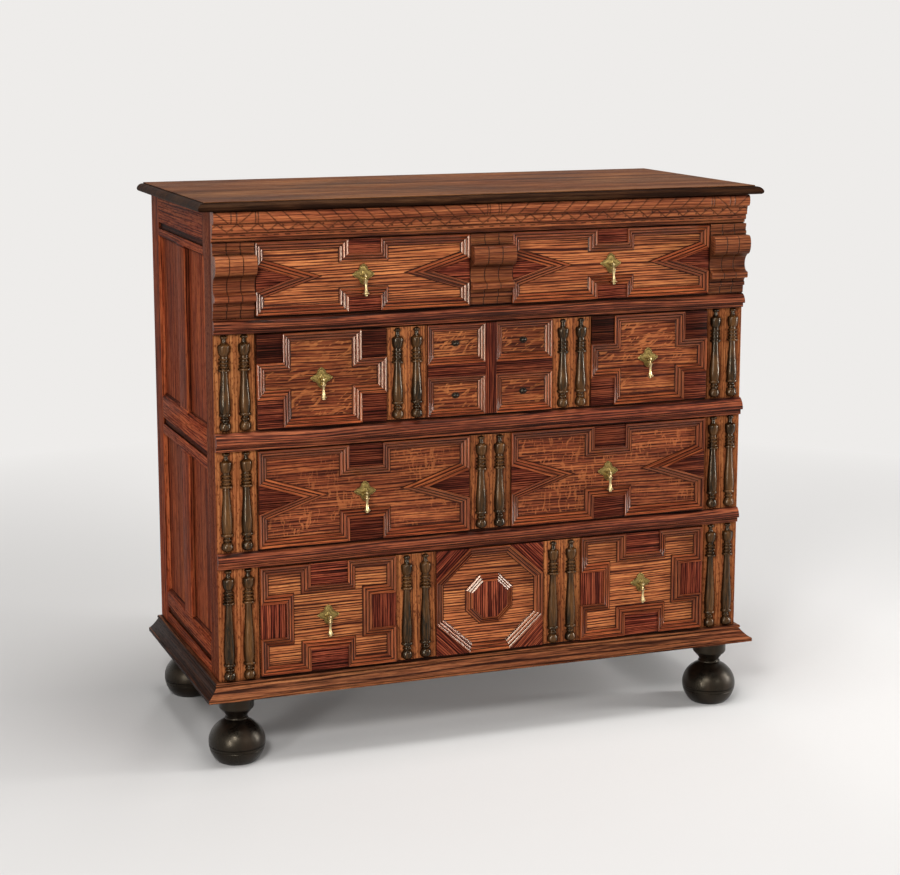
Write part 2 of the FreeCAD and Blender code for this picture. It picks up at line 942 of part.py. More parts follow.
def boss(x, z):
    """An oval boss standing on the drawer front."""
    sections = []
    for rise in boss_rises:
        share = math.sqrt(1 - rise**2)
        ring = []
        for step in range(boss_sides):
            angle = 2 * math.pi * step / boss_sides
            across = boss_width / 2 * share * math.cos(angle)
            up = boss_height / 2 * share * math.sin(angle)
            ring.append(Vector(x + across, front_y - boss_reach * rise, z + up))
        sections.append(ring)
    return stacked_solid(sections)


def quartered_middle(row):
    """Four small framed panels with bosses, round a flat walnut cross."""
    z_low, z_high = field_limits(row)
    z_mid = (z_low + z_high) / 2
    half = middle_half(cross_panel_width)
    mouldings = []
    bosses = []
    for side in (-1, 1):
        x_low, x_high = sorted((side * flat_cross_upright / 2, side * half))
        for low, high in ((z_low, z_mid - flat_cross_arm / 2), (z_mid + flat_cross_arm / 2, z_high)):
            corners = rectangle(x_low, x_high, low, high)
            mouldings += mitred_frame(corners, small_moulding_width, small_moulding_height)
            bosses.append(boss((x_low + x_high) / 2, (low + high) / 2))
    upright = flat_cross_upright / 2
    arm = flat_cross_arm / 2
    plaques = [plaque(rectangle(-upright, upright, z_low, z_high))]
    plaques.append(plaque(rectangle(-half, -upright, z_mid - arm, z_mid + arm)))
    plaques.append(plaque(rectangle(upright, half, z_mid - arm, z_mid + arm)))
    return mouldings, plaques, bosses


def notched_square(row, side):
    """Square panel notched in the middle of each side, at one end of the fourth row."""
    z_low, z_high = field_limits(row)
    x_low, x_high = sorted((side * (applied_half - square_panel_width), side * applied_half))
    x_mid = (x_low + x_high) / 2
    z_mid = (z_low + z_high) / 2
    left = x_mid - square_notch_width / 2
    right = x_mid + square_notch_width / 2
    below = z_mid - square_side_notch_height / 2
    above = z_mid + square_side_notch_height / 2
    deep = square_side_notch_depth
    tall = square_notch_depth
    outline = [
        (x_low, z_low),
        (left, z_low),
        (left, z_low + tall),
        (right, z_low + tall),
        (right, z_low),
        (x_high, z_low),
        (x_high, below),
        (x_high - deep, below),
        (x_high - deep, above),
        (x_high, above),
        (x_high, z_high),
        (right, z_high),
        (right, z_high - tall),
        (left, z_high - tall),
        (left, z_high),
        (x_low, z_high),
        (x_low, above),
        (x_low + deep, above),
        (x_low + deep, below),
        (x_low, below),
    ]
    plaques = [
        plaque(rectangle(left, right, z_low, z_low + tall)),
        plaque(rectangle(left, right, z_high - tall, z_high)),
        plaque(rectangle(x_low, x_low + deep, below, above)),
        plaque(rectangle(x_high - deep, x_high, below, above)),
    ]
    return mitred_frame(outline, moulding_width, moulding_height), plaques


def octagon(half_x, half_z, flat_x, flat_z, z_mid):
    """Corners of an octagon about the middle of the front, anticlockwise from the lower right."""
    quarter = [(flat_x, -half_z), (half_x, -flat_z), (half_x, flat_z), (flat_x, half_z)]
    corners = quarter + [(-x, -z) for x, z in quarter]
    return [(x, z_mid + z) for x, z in corners]


def octagon_middle(row):
    """Large octagon with walnut spandrels, and a small raised octagon in its middle."""
    z_low, z_high = field_limits(row)
    z_mid = (z_low + z_high) / 2
    half_x = middle_half(square_panel_width)
    half_z = (z_high - z_low) / 2
    flat = octagon_flat_half
    mouldings = mitred_frame(octagon(half_x, half_z, flat, flat, z_mid), moulding_width, moulding_height)
    plaques = []
    for x_sign, z_sign in ((1, -1), (1, 1), (-1, 1), (-1, -1)):
        corners = [(x_sign * flat, half_z), (x_sign * half_x, half_z), (x_sign * half_x, flat)]
        if x_sign * z_sign > 0:
            corners.reverse()
        plaques.append(plaque([(x, z_mid + z_sign * z) for x, z in corners]))
    side_half = ring_plaque_half * math.tan(math.pi / 8)
    small = octagon(ring_plaque_half, ring_plaque_half, side_half, side_half, z_mid)
    mouldings += mitred_frame(list(reversed(small)), ring_moulding_width, small_moulding_height)
    plaques.append(plaque(small))
    return mouldings, plaques


def applied_work(row):
    """Mouldings, plaques and turned pieces of a drawer front, by the end of each node's name."""
    work = {"mouldings": [], "plaques": []}

    def add(parts):
        work["mouldings"] += parts[0]
        work["plaques"] += parts[1]

    if row == 0:
        for side in (-1, 1):
            add(vee_panel(row, side, first_notch_width, first_notch_depth, first_vee_half, first_vee_length))
        width = centre_strip_width - 2 * edge_margin
        work["corbel"] = [corbel(-width / 2, width, *field_limits(row))]
    elif row == 1:
        for side in (-1, 1):
            add(cross_panel(row, side))
        middle = quartered_middle(row)
        add(middle)
        work["bosses"] = middle[2]
        strips = (-strip_centre(cross_panel_width), strip_centre(cross_panel_width))
    elif row == 2:
        for side in (-1, 1):
            add(vee_panel(row, side, third_notch_width, third_notch_depth, third_vee_half, third_vee_length))
        strips = (0.0,)
    else:
        for side in (-1, 1):
            add(notched_square(row, side))
        add(octagon_middle(row))
        strips = (-strip_centre(square_panel_width), strip_centre(square_panel_width))
    if row > 0:
        width = centre_strip_width if row == 2 else strip_width
        work["mouldings"] += [spindle_strip(row, x, width) for x in strips]
        work["spindles"] = [half for x in strips for half in strip_spindles(row, x)]
    return work


# Drawer boxes
def drawer_front(row):
    """Front board, rabbeted at the back for the sides and the bottom boards."""
    low, high = drawer_low[row], drawer_high[row]
    back = front_y + drawer_front_thickness
    rabbet_y = (back - rabbet_depth, back)
    board = block((-drawer_half, drawer_half), (front_y, back), (low, high))
    side_rabbet = block((-drawer_half, -drawer_half + drawer_side_thickness), rabbet_y, (low, high))
    under_rabbet = block((-drawer_half, drawer_half), rabbet_y, (low, low + drawer_bottom_thickness))
    return board.cut([side_rabbet, mirrored(side_rabbet), under_rabbet])


def drawer_y_range():
    """Front and back of the drawer sides and bottom, from the rabbet to the drawer's end."""
    return front_y + drawer_front_thickness - rabbet_depth, front_y + drawer_length


def drawer_sides(row):
    """Both sides, each ploughed along its outer face for the runner."""
    x_range = (-drawer_half, -drawer_half + drawer_side_thickness)
    z_range = (drawer_low[row] + drawer_bottom_thickness, drawer_high[row] - drawer_side_drop)
    side = block(x_range, drawer_y_range(), z_range)
    groove = block(
        (-drawer_half, -drawer_half + runner_reach + runner_side_gap),
        drawer_y_range(),
        (runner_centre[row] - runner_height / 2 - runner_under_gap, runner_centre[row] + runner_height / 2),
    )
    side = side.cut(groove)
    return [side, mirrored(side)]


def drawer_back(row):
    """Back board between the sides."""
    half = drawer_half - drawer_side_thickness
    y_high = front_y + drawer_length
    z_range = (drawer_low[row] + drawer_bottom_thickness, drawer_high[row] - drawer_back_drop)
    return block((-half, half), (y_high - drawer_back_thickness, y_high), z_range)


def drawer_bottom(row):
    """Bottom boards running front to back under the sides and back."""
    width = 2 * drawer_half / bottom_board_count
    z_range = (drawer_low[row], drawer_low[row] + drawer_bottom_thickness)
    boards = []
    for index in range(bottom_board_count):
        x = -drawer_half + index * width
        boards.append(block((x, x + width - bottom_board_gap), drawer_y_range(), z_range))
    return boards


# Pulls
def pull_offset(row):
    """Distance of a drawer's pulls from the middle of the front: the centres of its end panels."""
    vee_centre = (vee_panel_near + applied_half) / 2
    cross_centre = applied_half - cross_panel_width / 2
    square_centre = applied_half - square_panel_width / 2
    return (vee_centre, cross_centre, vee_centre, square_centre)[row]


def pull_height(row):
    """Height of the middle of a drawer's pull plates."""
    return (drawer_low[row] + drawer_high[row]) / 2


def pull_plate(x, z):
    """Lobed plate, its edge drawn by a cosine."""
    corners = []
    for step in range(plate_points):
        angle = 2 * math.pi * step / plate_points
        share = 1 - plate_waist_cut * (1 - math.cos(plate_lobes * angle)) / 2
        across = plate_half_width * share * math.cos(angle)
        corners.append((x + across, z + plate_half_height * share * math.sin(angle)))
    return front_plate(corners, front_y, plate_thickness)


def pivot_point(x, z):
    """Middle of the staple's bar, which the drop swings on."""
    return Vector(x, front_y - staple_reach, z - staple_drop)


def staple(x, z):
    """Forged staple: two square legs out of the plate and an eight-sided bar between them."""
    pivot = pivot_point(x, z)
    half = staple_half_width
    rings = turned_rings([(staple_radius, -half), (staple_radius, half)], staple_sides, 360)
    bar = stacked_solid(rings)
    bar.rotate(Vector(0, 0, 0), Vector(0, 1, 0), 90)
    legs = []
    for side in (-1, 1):
        x_range = sorted((pivot.x + side * half, pivot.x + side * (half + staple_leg_width)))
        y_range = (pivot.y - staple_leg_width / 2, front_y - plate_thickness)
        z_range = (pivot.z - staple_leg_width / 2, pivot.z + staple_leg_width / 2)
        legs.append(block(x_range, y_range, z_range))
    return bar.translated(pivot).fuse(legs)


def drop(x, z, lean):
    """Turned trumpet drop with a pierced eye, hanging from the staple's bar."""
    outline = [
        (drop_neck_radius, drop_eye_overlap - eye_radius),
        (drop_neck_radius, -drop_neck_share * drop_bell_length),
        (drop_bell_radius, -drop_bell_length),
        (drop_tip_radius, -drop_bell_length - drop_rim),
        (drop_end_radius, -drop_bell_length - drop_tip_length),
    ]
    body = stacked_solid(turned_rings(outline, drop_sides, 360))
    half = eye_thickness / 2
    eye = stacked_solid(turned_rings([(eye_radius, -half), (eye_radius, half)], drop_sides, 360))
    eye.rotate(Vector(0, 0, 0), Vector(0, 1, 0), 90)
    hole = Part.makeCylinder(
        staple_radius + pivot_gap,
        eye_thickness + 2 * cut_overshoot,
        Vector(-half - cut_overshoot, 0, 0),
        Vector(1, 0, 0),
    )
    whole = body.fuse(eye).cut(hole)
    whole.rotate(Vector(0, 0, 0), Vector(1, 0, 0), -lean)
    return whole.translated(pivot_point(x, z))


# Write every node
rails_in_front = front_rails()
front_left = left_stile(front_y, rails_in_front, [])
rear_left = left_stile(rear_y - stile_depth, rear_rails(), rear_grooves())
export("front_left_stile", [front_left])
export("front_right_stile", [mirrored(front_left)])
export("rear_left_stile", [rear_left])
export("rear_right_stile", [mirrored(rear_left)])

side_frame = left_side_frame()
side_panels = [side_panel(window, 0.0, 0.0) for window in side_windows()]
export("left_side_frame", side_frame)
export("right_side_frame", [mirrored(piece) for piece in side_frame])
export("left_side_panels", side_panels)
export("right_side_panels", [mirrored(piece) for piece in side_panels])

export("front_rails", rails_in_front)
export("rear_frame", rear_frame())
export("rear_panels", [rear_panel(side, 0.0, 0.0) for side in (-1, 1)])
export("top_board", [top_board()])
export("feet", feet())
left_runners = [left_runner(row) for row in rows]
export("drawer_runners", left_runners + [mirrored(runner) for runner in left_runners])

export("frieze_moulding", [frieze_moulding()])
export("rail_mouldings", [rail_moulding(row) for row in rows[:-1]])
export("base_moulding", base_moulding())
export("stile_corbels", stile_corbels())
export("stile_spindles", stile_spindles())

for row in rows:
    name = "drawer_" + str(row + 1) + "_"
    export(name + "front", [drawer_front(row)])
    export(name + "sides", drawer_sides(row))
    export(name + "back", [drawer_back(row)])
    export(name + "bottom", drawer_bottom(row))
    for kind, pieces in applied_work(row).items():
        export(name + kind, pieces)
    lean = 0.0 if row else first_row_lean
    height = pull_height(row)
    places = [side * pull_offset(row) for side in (-1, 1)]
    export(name + "pull_plates", [piece(x, height) for x in places for piece in (pull_plate, staple)])
    for side_name, x in zip(("left", "right"), places):
        export(name + side_name + "_drop", [drop(x, height, lean)])
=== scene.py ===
"""Looks of the joined oak chest of drawers: finishes, turned and moulded pieces, carving and studio."""
import json
import logging
import math
from dataclasses import dataclass
from enum import Enum
from typing import Optional, Protocol, Sequence, Union

import bmesh
import bpy
import numpy as np
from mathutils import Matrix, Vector


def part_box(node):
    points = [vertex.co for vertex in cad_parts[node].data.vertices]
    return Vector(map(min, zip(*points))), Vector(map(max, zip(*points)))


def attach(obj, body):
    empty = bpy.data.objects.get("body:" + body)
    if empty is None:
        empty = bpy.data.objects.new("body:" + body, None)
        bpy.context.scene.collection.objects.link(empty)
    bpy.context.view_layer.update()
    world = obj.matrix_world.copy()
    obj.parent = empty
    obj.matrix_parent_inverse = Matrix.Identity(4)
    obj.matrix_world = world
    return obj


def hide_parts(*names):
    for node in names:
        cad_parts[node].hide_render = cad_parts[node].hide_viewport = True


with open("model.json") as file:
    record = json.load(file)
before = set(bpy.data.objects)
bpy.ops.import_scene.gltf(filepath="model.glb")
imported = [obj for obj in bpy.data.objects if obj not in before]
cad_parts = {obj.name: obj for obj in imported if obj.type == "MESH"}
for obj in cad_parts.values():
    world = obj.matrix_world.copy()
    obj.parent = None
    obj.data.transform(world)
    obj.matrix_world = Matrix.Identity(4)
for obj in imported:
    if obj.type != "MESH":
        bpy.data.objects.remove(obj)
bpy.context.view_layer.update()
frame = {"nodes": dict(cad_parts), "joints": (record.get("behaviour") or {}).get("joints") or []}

Array = np.ndarray
Face = tuple[int, ...]
Shape = tuple[Array, list[Face]]
Pair = tuple[float, float]
Triple = tuple[float, float, float]
Chart = tuple[int, int, int]
Socket = bpy.types.NodeSocket
Feed = Union[Socket, float, tuple]

LOG = logging.getLogger("oak_chest")
MM = 0.001
WELD = 2e-6  # corners nearer than this are one corner
TOUCH = 1e-6  # slack for a point that lies on a face
ROWS = (1, 2, 3, 4)
LEVEL, _, UPRIGHT = np.eye(3)


class Grain(Enum):
    """Which way the grain of a piece of wood runs."""

    LENGTH = "length"
    ACROSS = "across"
    UP = "up"
    DEEP = "deep"


AXES = {Grain.ACROSS: 0, Grain.DEEP: 1, Grain.UP: 2}


def shade(red: int, green: int, blue: int) -> Triple:
    """Linear colour of a paint-chart value.

    Args:
        red, green, blue: Values from 0 to 255 as seen on a screen.

    Returns:
        The colour as linear light.
    """
    scaled = [value / 255 for value in (red, green, blue)]
    linear = [v / 12.92 if v <= 0.04045 else ((v + 0.055) / 1.055) ** 2.4 for v in scaled]
    return linear[0], linear[1], linear[2]


@dataclass
class Solid:
    """One closed piece of wood or metal of a CAD node."""

    points: Array
    faces: list[Face]

    @property
    def low(self) -> Array:
        """Lowest corner."""
        return self.points.min(axis=0)

    @property
    def high(self) -> Array:
        """Highest corner."""
        return self.points.max(axis=0)

    @property
    def middle(self) -> Array:
        """Middle of the box round it."""
        return (self.low + self.high) / 2

    def along(self, grain: Grain) -> Array:
        """Direction of the grain.

        Args:
            grain: The rule to follow.

        Returns:
            A unit vector.
        """
        axis = AXES.get(grain, int(np.argmax(self.high - self.low)))
        return np.eye(3)[axis]


def solids_of(node: str) -> list[Solid]:
    """Split a CAD node into its solids.

    Args:
        node: Name of the node.

    Returns:
        One Solid for each closed piece, in a fixed order.
    """
    mesh = frame["nodes"][node].data
    mesh.calc_loop_triangles()
    places = np.array([vertex.co for vertex in mesh.vertices], float)
    keys, welded = np.unique(np.round(places / WELD).astype(int), axis=0, return_inverse=True)
    welded = welded.ravel()
    triangles = [tuple(int(welded[i]) for i in t.vertices) for t in mesh.loop_triangles]
    triangles = [t for t in triangles if len(set(t)) == 3]
    by_edge: dict[tuple[int, int], list[int]] = {}
    for index, triangle in enumerate(triangles):
        for a, b in zip(triangle, triangle[1:] + triangle[:1]):
            by_edge.setdefault((min(a, b), max(a, b)), []).append(index)
    leader = list(range(len(triangles)))

    def lead(index: int) -> int:
        """Find the first triangle of the group that a triangle is in.

        Args:
            index: Number of the triangle.

        Returns:
            Number of the first one.
        """
        while leader[index] != index:
            leader[index] = leader[leader[index]]
            index = leader[index]
        return index

    for pair in by_edge.values():
        if len(pair) == 2:
            first, second = sorted(lead(index) for index in pair)
            leader[second] = first
    groups: dict[int, list[Face]] = {}
    for index, triangle in enumerate(triangles):
        groups.setdefault(lead(index), []).append(triangle)
    solids = []
    for members in groups.values():
        used = sorted({i for triangle in members for i in triangle})
        place = {old: new for new, old in enumerate(used)}
        faces = [tuple(place[i] for i in triangle) for triangle in members]
        solids.append(Solid(keys[used] * WELD, faces))
    return solids


class Outline:
    """A profile drawn point by point, with straight, round and hollow stretches."""

    def __init__(self, start: Pair) -> None:
        """Begin at a point."""
        self.points: list[Pair] = [start]

    def line(self, *ends: Pair) -> "Outline":
        """Straight runs to further points."""
        self.points.extend(ends)
        return self

    def bend(self, control: Pair, end: Pair, steps: int = 8) -> "Outline":
        """A smooth bend.

        Args:
            control: Point that the bend is drawn towards.
            end: Where it ends.
            steps: Number of short runs.

        Returns:
            The outline itself.
        """
        corners = (self.points[-1], control, end)
        for step in range(1, steps + 1):
            t = step / steps
            weights = ((1 - t) ** 2, 2 * t * (1 - t), t * t)
            x, y = (sum(w * corner[i] for w, corner in zip(weights, corners)) for i in (0, 1))
            self.points.append((x, y))
        return self

    def bead(self, end: Pair, swell: float, steps: int = 8) -> "Outline":
        """A half-round bead, or a hollow if the swell is negative.

        Args:
            end: Where it ends.
            swell: How far it stands out to the left of the run.
            steps: Number of short runs.

        Returns:
            The outline itself.
        """
        x, y = self.points[-1]
        run_x, run_y = end[0] - x, end[1] - y
        length = math.hypot(run_x, run_y)
        for step in range(1, steps + 1):
            angle = math.pi * step / steps
            along, out = (1 - math.cos(angle)) / 2, swell * math.sin(angle) / length
            self.points.append((x + run_x * along - run_y * out, y + run_y * along + run_x * out))
        return self


def full_turn(count: int) -> Array:
    """Angles of evenly spaced points round a circle."""
    return 2 * math.pi * np.arange(count) / count


def loft(sections: Array, caps: bool = True) -> Shape:
    """Skin between matching points of successive rings.

    Args:
        sections: Array of rings, points and coordinates.
        caps: Whether both ends are closed.

    Returns:
        Points and faces.
    """
    count, ring = sections.shape[:2]
    faces: list[Face] = []
    for low in range(0, (count - 1) * ring, ring):
        high = low + ring
        for index in range(ring):
            after = (index + 1) % ring
            faces.append((low + index, low + after, high + after, high + index))
    if caps:
        faces.append(tuple(range(ring - 1, -1, -1)))
        faces.append(tuple((count - 1) * ring + index for index in range(ring)))
    return sections.reshape(-1, 3), faces


def turn(outline: Sequence[Pair], segments: int, half: bool = False) -> Shape:
    """Turn an outline of radius and height about the upright axis.

    Args:
        outline: Radius and height from the bottom up.
        segments: Number of flats round the turn.
        half: Whether only the front half is made, flat at the back.

    Returns:
        Points and faces.
    """
    sweep = math.pi if half else 2 * math.pi
    angles = math.pi + sweep * np.arange(segments + (1 if half else 0)) / segments
    radius, height = (np.array(values)[:, None] for values in zip(*outline))
    rings = np.broadcast_arrays(radius * np.cos(angles), radius * np.sin(angles), height)
    return loft(np.stack(rings, axis=2))


def mound(solid: Solid, outline: Sequence[Pair], edge: Array) -> Shape:
    """Raise a low cast or carved mound from the back of a solid towards the front.

    Args:
        solid: The CAD solid whose place and size it takes.
        outline: Scale of each ring, and its rise in shares of the solid's thickness.
        edge: Reach of the outer ring at even angles, in shares of the half width or height.

    Returns:
        Points and faces.
    """
    half = (solid.high - solid.low) / 2
    angles = full_turn(len(edge))
    rings = []
    for scale, rise in outline:
        x = solid.middle[0] + half[0] * scale * edge * np.cos(angles)
        y = np.full(len(edge), solid.high[1] - rise * 2 * half[1])
        z = solid.middle[2] + half[2] * scale * edge * np.sin(angles)
        rings.append(np.stack([x, y, z], axis=1))
    return loft(np.array(rings))


def eased(solid: Solid, arris: float) -> Shape:
    """Take the sharp arrises off a solid.

    Args:
        solid: The piece.
        arris: Width taken off each outer edge, in metres.

    Returns:
        Points and faces.
    """
    flat_angle, sharp_angle, shortest = 0.01, 0.6, 6 * arris
    mesh = bmesh.new()
    corners = [mesh.verts.new(point) for point in solid.points]
    for face in solid.faces:
        mesh.faces.new([corners[i] for i in face])
    bmesh.ops.recalc_face_normals(mesh, faces=mesh.faces[:])
    bmesh.ops.dissolve_limit(mesh, angle_limit=flat_angle, verts=mesh.verts[:], edges=mesh.edges[:])
    outer = [edge for edge in mesh.edges if edge.is_manifold and edge.is_convex]
    edges = [e for e in outer if e.calc_face_angle(0) > sharp_angle and e.calc_length() > shortest]
    if edges:
        bmesh.ops.bevel(
            mesh, geom=edges, offset=arris, segments=2, profile=0.5, affect="EDGES", clamp_overlap=True
        )
    mesh.verts.index_update()
    points = np.array([vertex.co for vertex in mesh.verts], float)
    faces = [tuple(vertex.index for vertex in face.verts) for face in mesh.faces]
    mesh.free()
    return points, faces


class Graph:
    """A node tree and short ways of adding nodes to it."""

    usual = (0.3, 0.7)  # where most of the noise falls

    def __init__(self, owner: Union[bpy.types.Material, bpy.types.World]) -> None:
        """Start with an empty tree.

        Args:
            owner: Material or world whose tree it is.
        """
        owner.use_nodes = True
        self.tree = owner.node_tree
        self.tree.nodes.clear()

    def add(
        self, kind: str, *feeds: Optional[Feed], out: Union[int, str] = 0, **settings: object
    ) -> Socket:
        """Add a node.

        Args:
            kind: Blender's name of the node without its usual beginning.
            feeds: What goes into its first inputs, in order; None leaves one alone.
            out: Which output is wanted.
            settings: Properties to set.

        Returns:
            The output.
        """
        node = self.tree.nodes.new("ShaderNode" + kind)
        for key, value in settings.items():
            setattr(node, key, value)
        for socket, feed in zip(node.inputs, feeds):
            self.feed(socket, feed)
        return node.outputs[out]

    def feed(self, socket: Socket, feed: Optional[Feed]) -> None:
        """Link an output to an input, or set the input's value.

        Args:
            socket: The input.
            feed: An output, a value, or None to leave the input alone.
        """
        if isinstance(feed, bpy.types.NodeSocket):
            self.tree.links.new(feed, socket)
        elif feed is not None:
            socket.default_value = feed

    def read(self, name: str, out: str = "Fac") -> Socket:
        """Read an attribute of the mesh."""
        return self.add("Attribute", out=out, attribute_name=name)

    def math(self, operation: str, first: Feed, second: Feed = 0.0) -> Socket:
        """Work out one number from two."""
        return self.add("Math", first, second, operation=operation)

    def times(self, first: Feed, second: Feed) -> Socket:
        """Multiply two numbers."""
        return self.math("MULTIPLY", first, second)

    def plus(self, first: Feed, second: Feed) -> Socket:
        """Add two numbers."""
        return self.math("ADD", first, second)

    def stretch(self, vector: Socket, scale: Triple) -> Socket:
        """Scale a vector."""
        return self.add("VectorMath", vector, scale, operation="MULTIPLY")

    def noise(
        self,
        place: Socket,
        along: float,
        across: float,
        detail: float = 2.0,
        through: Optional[float] = None,
        warp: float = 0.0,
    ) -> Socket:
        """Soft noise with its own rate along, across and through the board.

        Args:
            place: Places in the board's axes.
            along, across: Rates in changes to the metre.
            detail: How many finer layers are added.
            through: Rate through the board, the same as across if it is not given.
            warp: How much the noise bends itself.

        Returns:
            Values about a half, most of them in the usual range.
        """
        rough, step, offset, gain = 0.55, 2.0, 0.0, 1.0
        scaled = self.stretch(place, (along, across, through or across))
        return self.add("TexNoise", scaled, None, 1.0, detail, rough, step, offset, gain, warp)

    def remap(self, value: Socket, old: Pair, low: float = 0.0, high: float = 1.0) -> Socket:
        """Map a range of values onto another, held at its ends."""
        return self.add("MapRange", value, *old, low, high)

    def ramp(self, value: Socket, *stops: tuple[float, Triple]) -> Socket:
        """Colours along a scale.

        Args:
            value: Place on the scale, from 0 to 1.
            stops: Places and their colours, in rising order.

        Returns:
            The colour.
        """
        node = self.tree.nodes.new("ShaderNodeValToRGB")
        self.feed(node.inputs[0], value)
        elements = node.color_ramp.elements
        while len(elements) < len(stops):
            elements.new(1.0)
        for element, (place, colour) in zip(elements, stops):
            element.position = place
            element.color = (*colour, 1.0)
        return node.outputs[0]

    def mix(self, share: Feed, first: Feed, second: Feed, blend: str = "MIX") -> Socket:
        """Mix two colours.

        Args:
            share: Share of the second colour.
            first, second: The colours.
            blend: Blender's name of the way of mixing.

        Returns:
            The mixed colour.
        """
        node = self.tree.nodes.new("ShaderNodeMix")
        node.data_type = "RGBA"
        node.blend_type = blend
        for socket, feed in zip((node.inputs[0], node.inputs[6], node.inputs[7]), (share, first, second)):
            self.feed(socket, (*feed, 1.0) if isinstance(feed, tuple) else feed)
        return node.outputs[2]

    def tint(self, colour: Socket, by: Feed) -> Socket:
        """Multiply a colour by another."""
        return self.mix(1.0, colour, by, "MULTIPLY")

    def surface(self, **sockets: Feed) -> Socket:
        """Add the shader of a surface.

        Args:
            sockets: Inputs of the shader by name, with _ for a space.

        Returns:
            The shader's output.
        """
        shader = self.tree.nodes.new("ShaderNodeBsdfPrincipled")
        for name, feed in sockets.items():
            self.feed(shader.inputs[name.replace("_", " ")], feed)
        return shader.outputs[0]

    def close(self, shader: Socket, kind: str = "Material") -> None:
        """End the tree in a shader."""
        output = self.tree.nodes.new("ShaderNodeOutput" + kind)
        self.feed(output.inputs[0], shader)

    def corners(self, strength: float) -> Socket:
        """Painted shade: a level that falls in inner corners and gaps, by ambient occlusion."""
        open_share = self.add("AmbientOcclusion", None, 9 * MM, out="AO", samples=6)
        return self.remap(open_share, (0.35, 0.9), 1 - strength)

    def bump(self, height: Socket, strength: float, distance: float) -> Socket:
        """Relief from a height.

        Args:
            height: The height at each place.
            strength: How much of the relief shows.
            distance: Depth of a height of 1, in metres.

        Returns:
            The normal.
        """
        node = self.tree.nodes.new("ShaderNodeBump")
        for name, feed in (("Strength", strength), ("Distance", distance), ("Height", height)):
            self.feed(node.inputs[name], feed)
        return node.outputs[0]


MADE: dict["Finish", bpy.types.Material] = {}


@dataclass(frozen=True)
class Finish:
    """What all finishes share: a name and the record's slot."""

    name: str
    slot: str

    def material(self) -> bpy.types.Material:
        """Make the finish's material, once.

        Returns:
            The material.
        """
        if self not in MADE:
            MADE[self] = bpy.data.materials.new(self.name)
            g = Graph(MADE[self])
            g.close(self.draw(g))
        return MADE[self]

    def draw(self, g: Graph) -> Socket:
        """Draw the finish and end in its shader."""
        raise NotImplementedError


